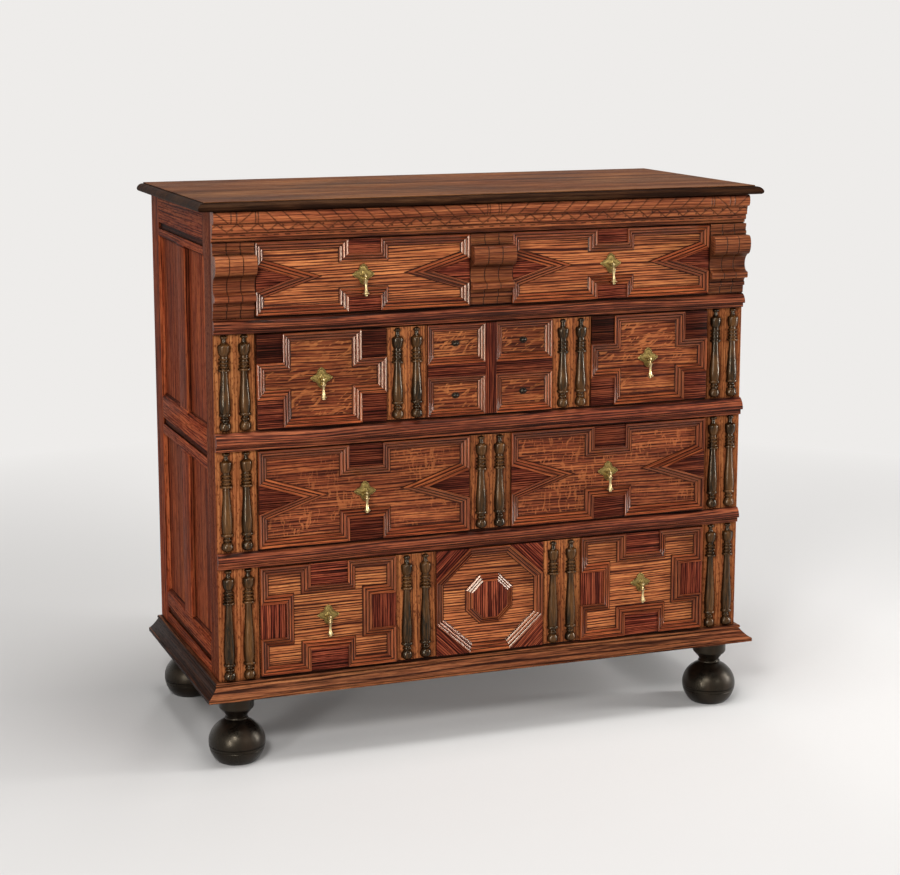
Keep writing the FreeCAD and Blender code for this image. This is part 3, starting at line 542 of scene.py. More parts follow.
@dataclass(frozen=True)
class OakFinish(Finish):
    """Waxed open-grained wood with growth lines, pores, silver flecks and worn patches."""

    dark: Chart
    middle: Chart
    light: Chart
    line_spacing: float = 6.0 * MM
    line_strength: float = 0.5
    line_slant: float = 0.45
    line_wander: float = 2.6
    figure_level: float = 0.62
    streak: float = 0.25
    fibre: float = 0.3
    sway: float = 16 * MM
    fleck: float = 0.0
    fleck_turn: float = 28.0
    fleck_size: float = 1.0
    pore_rates: Pair = (45.0, 800.0)
    pore_strength: float = 0.5
    blotch: float = 0.2
    cool_tint: Triple = (0.92, 0.8, 0.78)
    warm_tint: Triple = (1.0, 1.0, 0.94)
    tone_range: Pair = (0.55, 1.45)
    # colour level where dirt and painted shade are full
    dirt_and_shade_level: float = 0.1
    roughness: float = 0.45
    specular: float = 0.12
    wax_tint: tuple[float, ...] = (1.0, 0.84, 0.66, 1.0)
    relief: float = 0.3
    relief_depth: float = 0.4 * MM
    line_relief: float = -0.7
    # painted shade in inner corners and gaps
    corner_shade: float = 0.88
    wear: float = 1.0
    wear_range: Pair = (-0.07, 0.14)
    pore_dulling: float = 0.3
    # tint that paints shade on faces turned sideways
    side_face_shade: Optional[Triple] = None

    def figure(self, g: Graph, grain: Socket, bent: Socket) -> tuple[Socket, Socket]:
        """Growth lines, streaks and fibres.

        Args:
            g: The material that they are drawn in.
            grain: Places along, across and through the board.
            bent: The same with the sway of the grain.

        Returns:
            The figure from 0, dark, to 1, light, and the growth lines alone.
        """
        pitch = 1.0 / self.line_spacing
        place = g.stretch(bent, (0.0, pitch, self.line_slant * pitch))
        phase = g.add("VectorMath", place, (1.0, 1.0, 1.0), out="Value", operation="DOT_PRODUCT")
        wander = g.noise(bent, 1.6, 0.3 * pitch)
        saw = g.math("FRACT", g.plus(phase, g.times(wander, self.line_wander)))
        line = g.times(g.remap(saw, (0.0, 0.14)), g.remap(saw, (0.26, 0.56), 1.0, 0.0))
        broken = g.noise(bent, 12.0, 0.9 * pitch)
        line = g.times(line, g.remap(broken, (0.34, 0.58), 0.35))
        streaks = g.noise(bent, 2.0, 0.5 * pitch, 3.0)
        fibres = g.noise(grain, 16.0, 420.0, 3.0)
        pale, deep = self.figure_level + self.streak, self.figure_level - self.streak
        figure = g.remap(streaks, g.usual, deep, pale)
        figure = g.plus(figure, g.remap(fibres, g.usual, -self.fibre, self.fibre))
        figure = g.math("SUBTRACT", figure, g.times(line, self.line_strength))
        return figure, line

    def flecks(self, g: Graph, bent: Socket) -> Socket:
        """Silver flecks, short ripples that lie aslant the grain in patches.

        Args:
            g: The material that they are drawn in.
            bent: Places in the board's axes, with the sway of the grain.

        Returns:
            Share of the light colour.
        """
        turned = g.add("VectorRotate", bent, None, (0.0, 0.0, 1.0), math.radians(self.fleck_turn))
        fine = 1.0 / self.fleck_size
        ripple = g.noise(turned, 24.0 * fine, 62.0 * fine, 1.0, 40.0 * fine, 1.6)
        patch = g.remap(g.noise(bent, 6.0, 12.0), (0.38, 0.54), 0.0, self.fleck)
        return g.times(g.remap(ripple, (0.55, 0.64)), patch)

    def level(self, g: Graph, blotch: Socket) -> Socket:
        """How light each place is, from worn patches, the board's tone, dirt and painted shade.

        Args:
            g: The material that it is drawn in.
            blotch: Noise of the worn patches.

        Returns:
            A grey to multiply the colour by.
        """
        level = g.remap(blotch, g.usual, 1 - self.blotch, 1 + self.blotch)
        level = g.times(level, g.remap(g.read("tone"), (0.0, 1.0), *self.tone_range))
        # darker for dirt and for painted shade held in the grime attribute
        level = g.times(level, g.remap(g.read("dirt_and_shade"), (0.0, 1.0), 1.0, self.dirt_and_shade_level))
        # painted shade in inner corners and gaps, by ambient occlusion
        level = g.times(level, g.corners(self.corner_shade))
        return g.add("CombineXYZ", level, level, level)

    def draw(self, g: Graph) -> Socket:
        """Draw the wood by its grain, tone and grime attributes.

        Args:
            g: The empty material.

        Returns:
            The shader.
        """
        dark, middle, light = (shade(*chart) for chart in (self.dark, self.middle, self.light))
        grain = g.read("grain", "Vector")
        shift = g.times(g.math("SUBTRACT", g.noise(grain, 1.5, 5.0), 0.5), self.sway)
        bent = g.add("VectorMath", grain, g.add("CombineXYZ", 0.0, shift, shift), operation="ADD")
        figure, line = self.figure(g, grain, bent)
        pores = g.remap(g.noise(bent, *self.pore_rates, 1.0), (0.54, 0.66))
        blotch = g.noise(grain, 3.5, 7.0, 3.0)
        colour = g.ramp(figure, (0.1, dark), (0.5, middle), (0.9, light))
        if self.fleck:
            colour = g.mix(self.flecks(g, bent), colour, light)
        colour = g.mix(g.times(pores, self.pore_strength), colour, dark)
        warmth = g.remap(g.noise(grain, 2.2, 5.0), (0.35, 0.65))
        colour = g.tint(colour, g.ramp(warmth, (0.0, self.cool_tint), (1.0, self.warm_tint)))
        # Painted shade: faces turned sideways are darkened by the flank tint.
        if self.side_face_shade:
            sideways = g.add("SeparateXYZ", g.add("NewGeometry", out="Normal"), out="X")
            share = g.remap(g.math("ABSOLUTE", sideways), (0.25, 0.5))
            colour = g.mix(share, colour, g.tint(colour, self.side_face_shade))
        colour = g.tint(colour, self.level(g, blotch))
        rough = g.plus(blotch, g.times(pores, self.pore_dulling))
        rough = g.remap(rough, (0.3, 0.9), *(self.wear * change for change in self.wear_range))
        height = g.math("SUBTRACT", g.times(line, self.line_relief), pores)
        return g.surface(
            Base_Color=colour,
            Roughness=g.plus(rough, self.roughness),
            Specular_IOR_Level=self.specular,
            Specular_Tint=self.wax_tint,
            Normal=g.bump(height, self.relief, self.relief_depth),
        )


@dataclass(frozen=True)
class EbonisedFinish(Finish):
    """Black stain under polish, rubbed through to brown, with fine lathe marks."""

    black: Chart
    brown: Chart
    roughness: float = 0.22
    rub: float = 0.0
    specular: float = 0.3
    polish_tint: tuple[float, ...] = (1.0, 0.84, 0.62, 1.0)

    def draw(self, g: Graph) -> Socket:
        """Draw the stain by its grain and grime attributes.

        Args:
            g: The empty material.

        Returns:
            The shader.
        """
        grain = g.read("grain", "Vector")
        rubbed = g.noise(grain, 9.0, 26.0, 3.0)
        fibres = g.noise(grain, 40.0, 420.0)
        share = g.remap(rubbed, (0.42, 0.72), self.rub, self.rub + 0.7)
        share = g.plus(share, g.remap(fibres, (0.4, 0.7), -0.12, 0.22))
        # black is kept in worn hollows, and as painted shade on the spindles' sides
        share = g.times(share, g.remap(g.read("dirt_and_shade"), (0.0, 1.0), 1.0, 0.0))
        lathe = g.times(g.noise(grain, 1100.0, 6.0, 1.0), 0.5)
        smooth, dull = self.roughness - 0.06, self.roughness + 0.16
        return g.surface(
            Base_Color=g.mix(share, shade(*self.black), shade(*self.brown)),
            Roughness=g.remap(g.plus(rubbed, fibres), (0.7, 1.3), smooth, dull),
            Specular_IOR_Level=self.specular,
            Specular_Tint=self.polish_tint,
            Normal=g.bump(g.plus(lathe, fibres), 0.22, 0.25 * MM),
        )


@dataclass(frozen=True)
class BrassFinish(Finish):
    """Cast brass, bright where it is handled and brown in its hollows."""

    bright: Chart
    brown: Chart

    def draw(self, g: Graph) -> Socket:
        """Draw the metal by its grain and grime attributes.

        Args:
            g: The empty material.

        Returns:
            The shader.
        """
        grain = g.read("grain", "Vector")
        cloud = g.noise(grain, 90.0, 90.0, 3.0)
        speck = g.noise(grain, 900.0, 900.0)
        share = g.plus(g.remap(cloud, (0.4, 0.75), 0.0, 0.5), g.times(g.read("dirt_and_shade"), 0.85))
        return g.surface(
            Base_Color=g.mix(share, shade(*self.bright), shade(*self.brown)),
            Metallic=1.0,
            Roughness=g.remap(g.plus(cloud, speck), (0.7, 1.3), 0.24, 0.46),
            Normal=g.bump(speck, 0.12, 0.2 * MM),
        )


SHORT_PORES = (130.0, 360.0)
LONG_PORES = (60.0, 480.0)
STILE_OAK = OakFinish(
    "stile_oak", "case_oak", (98, 50, 28), (144, 86, 51), (172, 112, 68), fleck=0.3, roughness=0.55,
    pore_rates=SHORT_PORES, pore_strength=0.9, specular=0.02, side_face_shade=(0.5, 0.34, 0.32),
)
STRIP_OAK = OakFinish(
    "strip_oak", "applied_moulding", (86, 42, 24), (144, 84, 48), (172, 110, 65), fleck=0.3,
    pore_rates=SHORT_PORES, pore_strength=0.9,
)
RAIL_OAK = OakFinish(
    "rail_oak", "case_oak", (36, 13, 9), (98, 46, 31), (144, 81, 52), line_spacing=4.0 * MM,
    line_strength=0.85, streak=0.32,
)
BASE_OAK = OakFinish(
    "base_oak", "case_oak", (38, 18, 11), (104, 60, 38), (146, 94, 60), line_spacing=5.0 * MM,
    line_strength=0.6, specular=0.04, side_face_shade=(0.12, 0.11, 0.12),
)
CARVED_OAK = OakFinish(
    "carved_oak", "case_oak", (60, 25, 16), (124, 66, 41), (166, 101, 62), line_strength=0.4,
    roughness=0.38,
)
SIDE_OAK = OakFinish(
    "waxed_side_oak", "side_oak", (54, 20, 11), (122, 54, 31), (158, 86, 52), streak=0.32, blotch=0.3,
    roughness=0.5, specular=0.015, pore_rates=LONG_PORES, pore_strength=0.6,
)
TOP_OAK = OakFinish(
    "faded_top_oak", "top_oak", (62, 34, 20), (102, 62, 38), (130, 88, 58), line_spacing=12.0 * MM,
    line_strength=0.75, streak=0.5, blotch=0.42, roughness=0.62, specular=0.05,
)
FIELD_OAK = OakFinish(
    "field_oak", "drawer_front_oak", (52, 20, 13), (152, 87, 52), (196, 127, 76), line_spacing=5.4 * MM,
    line_strength=0.9,
)
FLECKED_OAK = OakFinish(
    "flecked_oak", "drawer_front_oak", (50, 19, 13), (122, 59, 36), (190, 116, 68), line_strength=0.6,
    fleck=0.8, fleck_size=0.75, pore_rates=LONG_PORES,
)
RIPPLED_OAK = OakFinish(
    "rippled_oak", "drawer_front_oak", (50, 19, 13), (124, 62, 39), (178, 106, 63), line_strength=0.7,
    fleck=0.6, fleck_turn=88.0, fleck_size=0.62, pore_rates=LONG_PORES,
)
MOULDING_OAK = OakFinish(
    "moulding_oak", "applied_moulding", (66, 24, 12), (120, 59, 34), (156, 86, 48), line_spacing=4.0 * MM,
    roughness=0.18, specular=0.26, relief=0.02, wear=0.2, corner_shade=0.7,
)
WALNUT = OakFinish(
    "polished_walnut", "walnut", (24, 7, 5), (86, 35, 25), (132, 68, 45), line_spacing=4.0 * MM,
    line_strength=0.8, streak=0.36, roughness=0.42, specular=0.05,
)
LINING_OAK = OakFinish(
    "dry_lining_oak", "lining_oak", (92, 57, 34), (142, 98, 62), (172, 128, 86), roughness=0.62,
    specular=0.1,
)
BLACK_FOOT = EbonisedFinish("polished_black_foot", "ebonised_wood", (6, 4, 3), (30, 17, 9), 0.3)
RUBBED_BLACK = EbonisedFinish("rubbed_black_turning", "ebonised_wood", (7, 4, 2), (110, 70, 34), 0.15, 0.1)
BRASS = BrassFinish("cast_brass", "brass", (146, 124, 72), (66, 50, 26))
RUBBED_BRASS = BrassFinish("rubbed_brass", "brass", (192, 172, 126), (80, 60, 34))


def arrange(points: Array, along: Array, offset: Array) -> Array:
    """Places in a board's own axes: along the grain, across it and through the board.

    Args:
        points: Places in the shared frame.
        along: Direction of the grain.
        offset: Where the board was cut from.

    Returns:
        Places for the grain attribute.
    """
    never_thinnest = 1e3
    along = along / np.linalg.norm(along)
    extent = np.ptp(points, axis=0) + np.abs(along) * never_thinnest
    thin = np.eye(3)[int(np.argmin(extent))]
    thin = thin - along * (thin @ along)
    thin = thin / np.linalg.norm(thin)
    axes = np.stack([along, np.cross(thin, along), thin])
    return points @ axes.T + offset


class Workpiece:
    """Gathers the pieces of one visible object and dresses them."""

    chance = np.random.default_rng(1690)
    log_reach = 4.0

    def __init__(self, name: str) -> None:
        """Start with nothing.

        Args:
            name: Name of the object.
        """
        self.name = name
        self.points: list[Array] = []
        self.faces: list[Face] = []
        self.grain: list[Array] = []
        self.tone: list[Array] = []
        self.dirt_and_shade: list[Array] = []
        self.count = 0

    @classmethod
    def choose(cls, tone: float, spread: float) -> tuple[Array, float]:
        """Choose where a board is cut from and how light it is.

        Args:
            tone: Its usual tone, from 0, dark, to 1, light.
            spread: How much its tone may differ.

        Returns:
            The place of the cut and the board's tone.
        """
        offset = cls.chance.uniform(-cls.log_reach, cls.log_reach, 3)
        return offset, tone + spread * cls.chance.uniform(-1.0, 1.0)

    def add(
        self,
        shape: Shape,
        along: Array,
        spread: float = 0.16,
        tone: float = 0.5,
        dirt_and_shade: Union[float, Array] = 0.0,
    ) -> None:
        """Add one piece of wood or metal.

        Args:
            shape: Its points and faces.
            along: Direction of its grain.
            spread: How much its tone may differ from the others'.
            tone: Its usual tone, from 0, dark, to 1, light.
            dirt_and_shade: Dirt, patina and painted shade at each point, from 0 to 1.
        """
        points, faces = shape
        offset, level = self.choose(tone, spread)
        self.points.append(points)
        self.faces.extend(tuple(i + self.count for i in face) for face in faces)
        self.grain.append(arrange(points, along, offset))
        self.tone.append(np.full(len(points), level))
        self.dirt_and_shade.append(np.broadcast_to(np.asarray(dirt_and_shade, float), (len(points),)))
        self.count += len(points)

    def dress(self, finish: Finish, body: str, *nodes: str, smooth: float = 32.0) -> bpy.types.Object:
        """Make the object, give it its finish and let it stand for CAD nodes.

        Args:
            finish: The finish.
            body: Body that it rides on.
            nodes: CAD nodes that it stands for.
            smooth: Edges sharper than this many degrees stay sharp.

        Returns:
            The object.
        """
        mesh = bpy.data.meshes.new(self.name)
        mesh.from_pydata(np.concatenate(self.points).tolist(), [], self.faces)
        paint(mesh, np.concatenate(self.grain), np.concatenate(self.tone), np.concatenate(self.dirt_and_shade))
        mesh.polygons.foreach_set("use_smooth", [True] * len(mesh.polygons))
        mesh.set_sharp_from_angle(angle=math.radians(smooth))
        mesh.materials.append(finish.material())
        piece = bpy.data.objects.new(self.name, mesh)
        bpy.context.scene.collection.objects.link(piece)
        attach(piece, body)
        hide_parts(*nodes)
        LOG.info("%s: %d faces on %s", self.name, len(mesh.polygons), body)
        return piece


def paint(mesh: bpy.types.Mesh, grain: Array, tone: Array, dirt_and_shade: Array) -> None:
    """Write the attributes that the finishes read.

    Args:
        mesh: The mesh.
        grain: Places in each board's own axes.
        tone: Lightness of each board.
        dirt_and_shade: Dirt, patina and painted shade at each point.
    """
    mesh.attributes.new("grain", "FLOAT_VECTOR", "POINT").data.foreach_set("vector", grain.ravel())
    mesh.attributes.new("tone", "FLOAT", "POINT").data.foreach_set("value", tone)
    mesh.attributes.new("dirt_and_shade", "FLOAT", "POINT").data.foreach_set("value", dirt_and_shade)


def dress_node(
    node: str, finish: Finish, grain: Grain = Grain.LENGTH, spread: float = 0.16, usual: float = 0.5
) -> None:
    """Give a CAD node that stays as it is a finish with the grain along each of its boards.

    Args:
        node: Name of the node.
        finish: Its finish.
        grain: Which way the grain runs.
        spread: How much the boards' tones differ.
        usual: Their usual tone.
    """
    mesh = frame["nodes"][node].data
    places = np.array([vertex.co for vertex in mesh.vertices], float)
    coords = np.zeros_like(places)
    tone = np.full(len(places), 0.5)
    for solid in solids_of(node):
        inside = np.all((places > solid.low - TOUCH) & (places < solid.high + TOUCH), axis=1)
        offset, tone[inside] = Workpiece.choose(usual, spread)
        coords[inside] = arrange(places[inside], solid.along(grain), offset)
    paint(mesh, coords, tone, np.zeros(len(places)))
    mesh.materials.clear()
    mesh.materials.append(finish.material())
    LOG.info("%s: finished in %s", node, finish.name)


@dataclass
class CaseJoinery:
    """Stiles, rails, side frames and panels of the case."""

    arris: float = 0.9 * MM
    spread: float = 0.12
    recess_depth: float = 3.0 * MM
    recess_start: float = 0.3

    def ease(
        self,
        node: str,
        finish: Finish,
        tone: float = 0.5,
        below_face_shade: float = 0.0,
        recess_grime: float = 0.0,
    ) -> None:
        """Replace a node by the same boards with eased arrises.

        Args:
            node: Name of the node.
            finish: Its finish.
            tone: Usual tone of its boards.
            below_face_shade: Painted shade on all that lies below the upper face, its edges and underside.
            recess_grime: Dirt in all that is sunk below the outer face of a side.
        """
        work = Workpiece(node + "_eased")
        for solid in solids_of(node):
            points, faces = eased(solid, self.arris)
            below = points[:, 2] < solid.high[2] - 0.5 * self.arris
            side = np.abs(points[:, 0])
            sunk = np.clip((side.max() - side) / self.recess_depth - self.recess_start, 0.0, 1.0)
            # painted shade on the faces below the upper face
            dirt_and_shade = np.maximum(np.where(below, below_face_shade, 0.0), recess_grime * sunk)
            work.add((points, faces), solid.along(Grain.LENGTH), self.spread, tone, dirt_and_shade)
        work.dress(finish, "case", node, smooth=20.0)

    def build(self) -> None:
        """Dress every board of the case."""
        for side in ("left", "right"):
            self.ease(f"front_{side}_stile", STILE_OAK)
            self.ease(f"rear_{side}_stile", SIDE_OAK)
            self.ease(f"{side}_side_frame", SIDE_OAK, recess_grime=0.85)
            dress_node(f"{side}_side_panels", SIDE_OAK, Grain.UP)
        self.ease("front_rails", RAIL_OAK, tone=0.35)
        self.ease("rail_mouldings", RAIL_OAK)
        self.ease("base_moulding", BASE_OAK)
        # painted shade on the top's edges and underside
        self.ease("top_board", TOP_OAK, below_face_shade=0.9)
        dress_node("rear_frame", LINING_OAK)
        dress_node("rear_panels", LINING_OAK, Grain.UP)
        dress_node("drawer_runners", LINING_OAK)


def near_line(x: Array, z: Array, start: Pair, end: Pair) -> Array:
    """Distance of points from a straight cut.

    Args:
        x: Places across the front.
        z: Heights.
        start: One end of the cut.
        end: Its other end.

    Returns:
        Distances.
    """
    run = (end[0] - start[0], end[1] - start[1])
    share = ((x - start[0]) * run[0] + (z - start[1]) * run[1]) / (run[0] ** 2 + run[1] ** 2)
    share = np.clip(share, 0.0, 1.0)
    return np.hypot(x - start[0] - share * run[0], z - start[1] - share * run[1])


@dataclass
class Frieze:
    """The run under the top: a roll cut with diagonals, a zigzag band and a notched bead."""

    step: float = 1.3 * MM
    cut_width: float = 1.9 * MM
    cut_depth: float = 0.9 * MM
    # painted shade in the cuts
    cut_shade: float = 0.9
    roll_pitch: float = 31.0 * MM
    roll_lean: float = 22.0 * MM
    end_panel: float = 78.0 * MM
    zigzag_pitch: float = 38.0 * MM
    zigzag_margin: float = 1.5 * MM
    dot_radius: float = 0.9 * MM
    dot_levels: Pair = (0.3, 0.7)
    notch_pitch: float = 21.0 * MM
    notch_length: float = 8.0 * MM
    quirk_width: float = 3.0 * MM
    # painted shade along the quirks
    quirk_shade: float = 0.6
    tone: float = 0.6
    levels: Triple = (0.59, 0.28, 0.10)
    reaches: tuple[float, ...] = (19.5, 25.0, 15.0, 13.0, 7.5, 9.5, 4.0)

    def profile(self, low: float, high: float, top: float) -> Array:
        """Reach and height of closely spaced points from the top down.

        Args:
            low: Lower edge of the frieze.
            high: Upper edge of the frieze.
            top: Where the moulding starts, just under the board.

        Returns:
            Points of the profile.
        """
        tall = high - low
        roll, band, bead = (low + level * tall for level in self.levels)
        edge, nose, face, slope, lip, swell, fillet = (reach * MM for reach in self.reaches)
        line = Outline((0.0, top)).line((edge, top))
        line.bead((edge, roll), nose - edge, 14)
        line.line((face, roll), (slope, band), (lip, band))
        line.bead((lip, bead), swell - lip, 8).line((fillet, bead), (fillet, low), (0.0, low))
        dense = [line.points[0]]
        for (reach, height), end in zip(line.points, line.points[1:]):
            run = (end[0] - reach, end[1] - height)
            parts = max(1, round(math.hypot(*run) / self.step))
            shares = [part / parts for part in range(1, parts + 1)]
            dense += [(reach + run[0] * share, height + run[1] * share) for share in shares]
        return np.array(dense)

    def roll_cuts(self, half: float, low: float, high: float) -> list[tuple[Pair, Pair]]:
        """Cuts in the roll: end panels, then leaning lines that meet in the middle.

        Args:
            half: Half the run's length.
            low: Lower edge of the roll.
            high: Upper edge of the roll.

        Returns:
            Both ends of each cut on the right half.
        """
        inner = half - self.end_panel
        third = self.end_panel / 3
        upright = (inner, inner - 5 * MM, inner + 1.35 * third, inner + 1.75 * third, 9 * MM, 14 * MM)
        cuts = [((x, low), (x, high)) for x in upright]
        cuts.append(((half - 2 * MM, high), (inner + 1.9 * third, low)))
        cuts.append(((inner + 4 * MM, high), (inner + 1.2 * third, low)))
        x = 18 * MM
        while x + self.roll_lean < inner - 6 * MM:
            cuts.append(((x, low), (x + self.roll_lean, high)))
            x += self.roll_pitch
        return cuts

    def zigzag(self, side: Array, z: Array, low: float, high: float) -> Array:
        """Distance from the zigzag line of the band and the dots in its bays.

        Args:
            side: Distances from the middle of the front.
            z: Heights.
            low: Lower edge of the band.
            high: Upper edge of the band.

        Returns:
            Distances.
        """
        tall = high - low - 2 * self.zigzag_margin
        bay = self.zigzag_pitch / 2
        phase = np.abs((side / self.zigzag_pitch) % 1.0 - 0.5) * 2
        line = np.abs(z - (low + self.zigzag_margin + phase * tall)) / math.hypot(1.0, tall / bay)
        count = side / self.zigzag_pitch * 2
        up = np.where(count.astype(int) % 2 == 0, *self.dot_levels)
        dots = np.hypot((count % 1.0 - 0.5) * bay, z - (low + up * (high - low))) - self.dot_radius
        return np.minimum(line, np.maximum(dots, 0.0))

    def notches(self, side: Array, z: Array, middle: float) -> Array:
        """Distance from the short notches of the bead.

        Args:
            side: Distances from the middle of the front.
            z: Heights.
            middle: Height of the middle of the bead.

        Returns:
            Distances.
        """
        across = np.abs((side + self.notch_pitch / 2) % self.notch_pitch - self.notch_pitch / 2)
        return np.hypot(np.maximum(across - self.notch_length / 2, 0.0), z - middle)

    def build(self) -> None:
        """Make the frieze with its cuts."""
        low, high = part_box("frieze_moulding")
        roll, band, bead = (low.z + level * (high.z + MM - low.z) for level in self.levels)
        shape = self.profile(low.z, high.z + MM, high.z)
        across = np.linspace(low.x, high.x, round((high.x - low.x) / self.step) + 1)
        x, reach = np.meshgrid(across, shape[:, 0], indexing="ij")
        z = np.broadcast_to(shape[:, 1], x.shape)
        side = np.abs(x)
        lines = [near_line(side, z, *ends) for ends in self.roll_cuts(high.x, roll, high.z)]
        zigzag, notches = self.zigzag(side, z, band, roll), self.notches(side, z, (band + bead) / 2)
        on_roll = z > roll + 0.3 * MM
        on_band = (z < roll - 0.5 * MM) & (z > band + 0.5 * MM)
        on_bead = (z < band - 0.3 * MM) & (z > bead + 0.2 * MM)
        cuts = [np.min(lines, axis=0), zigzag, notches]
        distance = np.select([on_roll, on_band, on_bead], cuts, default=1.0)
        cut = np.clip(1.0 - distance / self.cut_width, 0.0, 1.0)
        outer = reach > 0.1 * MM
        y = high.y - np.where(outer, reach - self.cut_depth * cut, 0.0)
        # Painted shade in the cuts and along the quirks between roll, band and bead.
        quirk = np.min([np.abs(z - level) for level in (roll, band, bead)], axis=0)
        quirk_shade = np.clip(self.quirk_shade - quirk / self.quirk_width, 0.0, self.quirk_shade)
        dirt_and_shade = np.maximum(self.cut_shade * cut * outer, quirk_shade).ravel()
        work = Workpiece("frieze_carved")
        work.add(loft(np.stack([x, y, z], axis=2)), LEVEL, 0.0, self.tone, dirt_and_shade)
        work.dress(CARVED_OAK, "case", "frieze_moulding", smooth=40.0)


@dataclass
class Corbels:
    """Swelling corbels, each divided in three by two cut lines."""

    cut_width: float = 1.4 * MM
    cut_depth: float = 1.3 * MM
    # painted shade in the cut lines
    cut_shade: float = 0.9
    end_width: float = 0.6 * MM
    end_depth: float = 0.5 * MM
    hollow_reach: float = 0.5
    # painted shade in the hollow
    hollow_shade: float = 1.2
    undercut: float = 0.55
    undercut_width: float = 0.06
    # painted shade in a band under the swell
    undercut_shade: float = 0.75
    spread: float = 0.08
    tone: float = 0.32

    def profile(self) -> list[Pair]:
        """Draw the corbel's swelling front from the top down.

        Returns:
            Shares of its reach and of its height.
        """
        line = Outline((0.0, 1.0)).line((0.34, 1.0), (0.34, 0.955), (0.30, 0.945), (0.30, 0.90))
        line.line((0.38, 0.895), (0.38, 0.86), (0.34, 0.855), (0.34, 0.84), (0.72, 0.84))
        line.bend((0.98, 0.835), (1.0, 0.73), 8).bend((1.0, 0.61), (0.74, 0.575), 8)
        line.line((0.64, 0.57)).bend((0.26, 0.52), (0.27, 0.41), 8).bend((0.32, 0.325), (0.60, 0.315), 6)
        line.line((0.66, 0.31)).bead((0.62, 0.235), 0.05, 6).bend((0.24, 0.225), (0.22, 0.17), 6)
        line.line((0.27, 0.165)).bead((0.25, 0.115), 0.04, 5).line((0.14, 0.11), (0.10, 0.0), (0.0, 0.0))
        return line.points

    def add(self, work: Workpiece, solid: Solid) -> None:
        """Add one corbel where the CAD has it.

        Args:
            work: The object that it becomes part of.
            solid: The CAD solid.
        """
        low, high = solid.low, solid.high
        reach, height = np.array(self.profile()).T
        # Painted shade: the hollow and the band under the swell are darkened.
        hollow = self.hollow_shade * np.clip(self.hollow_reach - reach, 0.0, self.hollow_reach)
        shadow = self.undercut_shade * np.exp(-(((height - self.undercut) / self.undercut_width) ** 2))
        third = (high[0] - low[0]) / 3
        stops = [(low[0], self.end_depth), (low[0] + self.end_width, 0.0)]
        for line in (low[0] + third, low[0] + 2 * third):
            stops += [(line - self.cut_width, 0.0), (line, self.cut_depth), (line + self.cut_width, 0.0)]
        stops += [(high[0] - self.end_width, 0.0), (high[0], self.end_depth)]
        sections, dirt_and_shade = [], []
        for x, cut in stops:
            y = high[1] - np.maximum(reach * (high[1] - low[1]) - cut, 0.0)
            z = low[2] + height * (high[2] - low[2])
            sections.append(np.stack([np.full(len(y), x), y, z], axis=1))
            # worn holds the painted shade of the hollow and the undercut
            worn = np.maximum(hollow, shadow)
            dirt_and_shade.append(np.full(len(y), self.cut_shade) if cut > self.end_depth else worn)
        work.add(loft(np.array(sections)), LEVEL, self.spread, self.tone, np.concatenate(dirt_and_shade))

    def build(self) -> None:
        """Make the corbels on the stiles and on the first drawer."""
        for node, body in (("stile_corbels", "case"), ("drawer_1_corbel", "drawer_1")):
            work = Workpiece(node + "_carved")
            for solid in solids_of(node):
                self.add(work, solid)
            work.dress(CARVED_OAK, body, node)


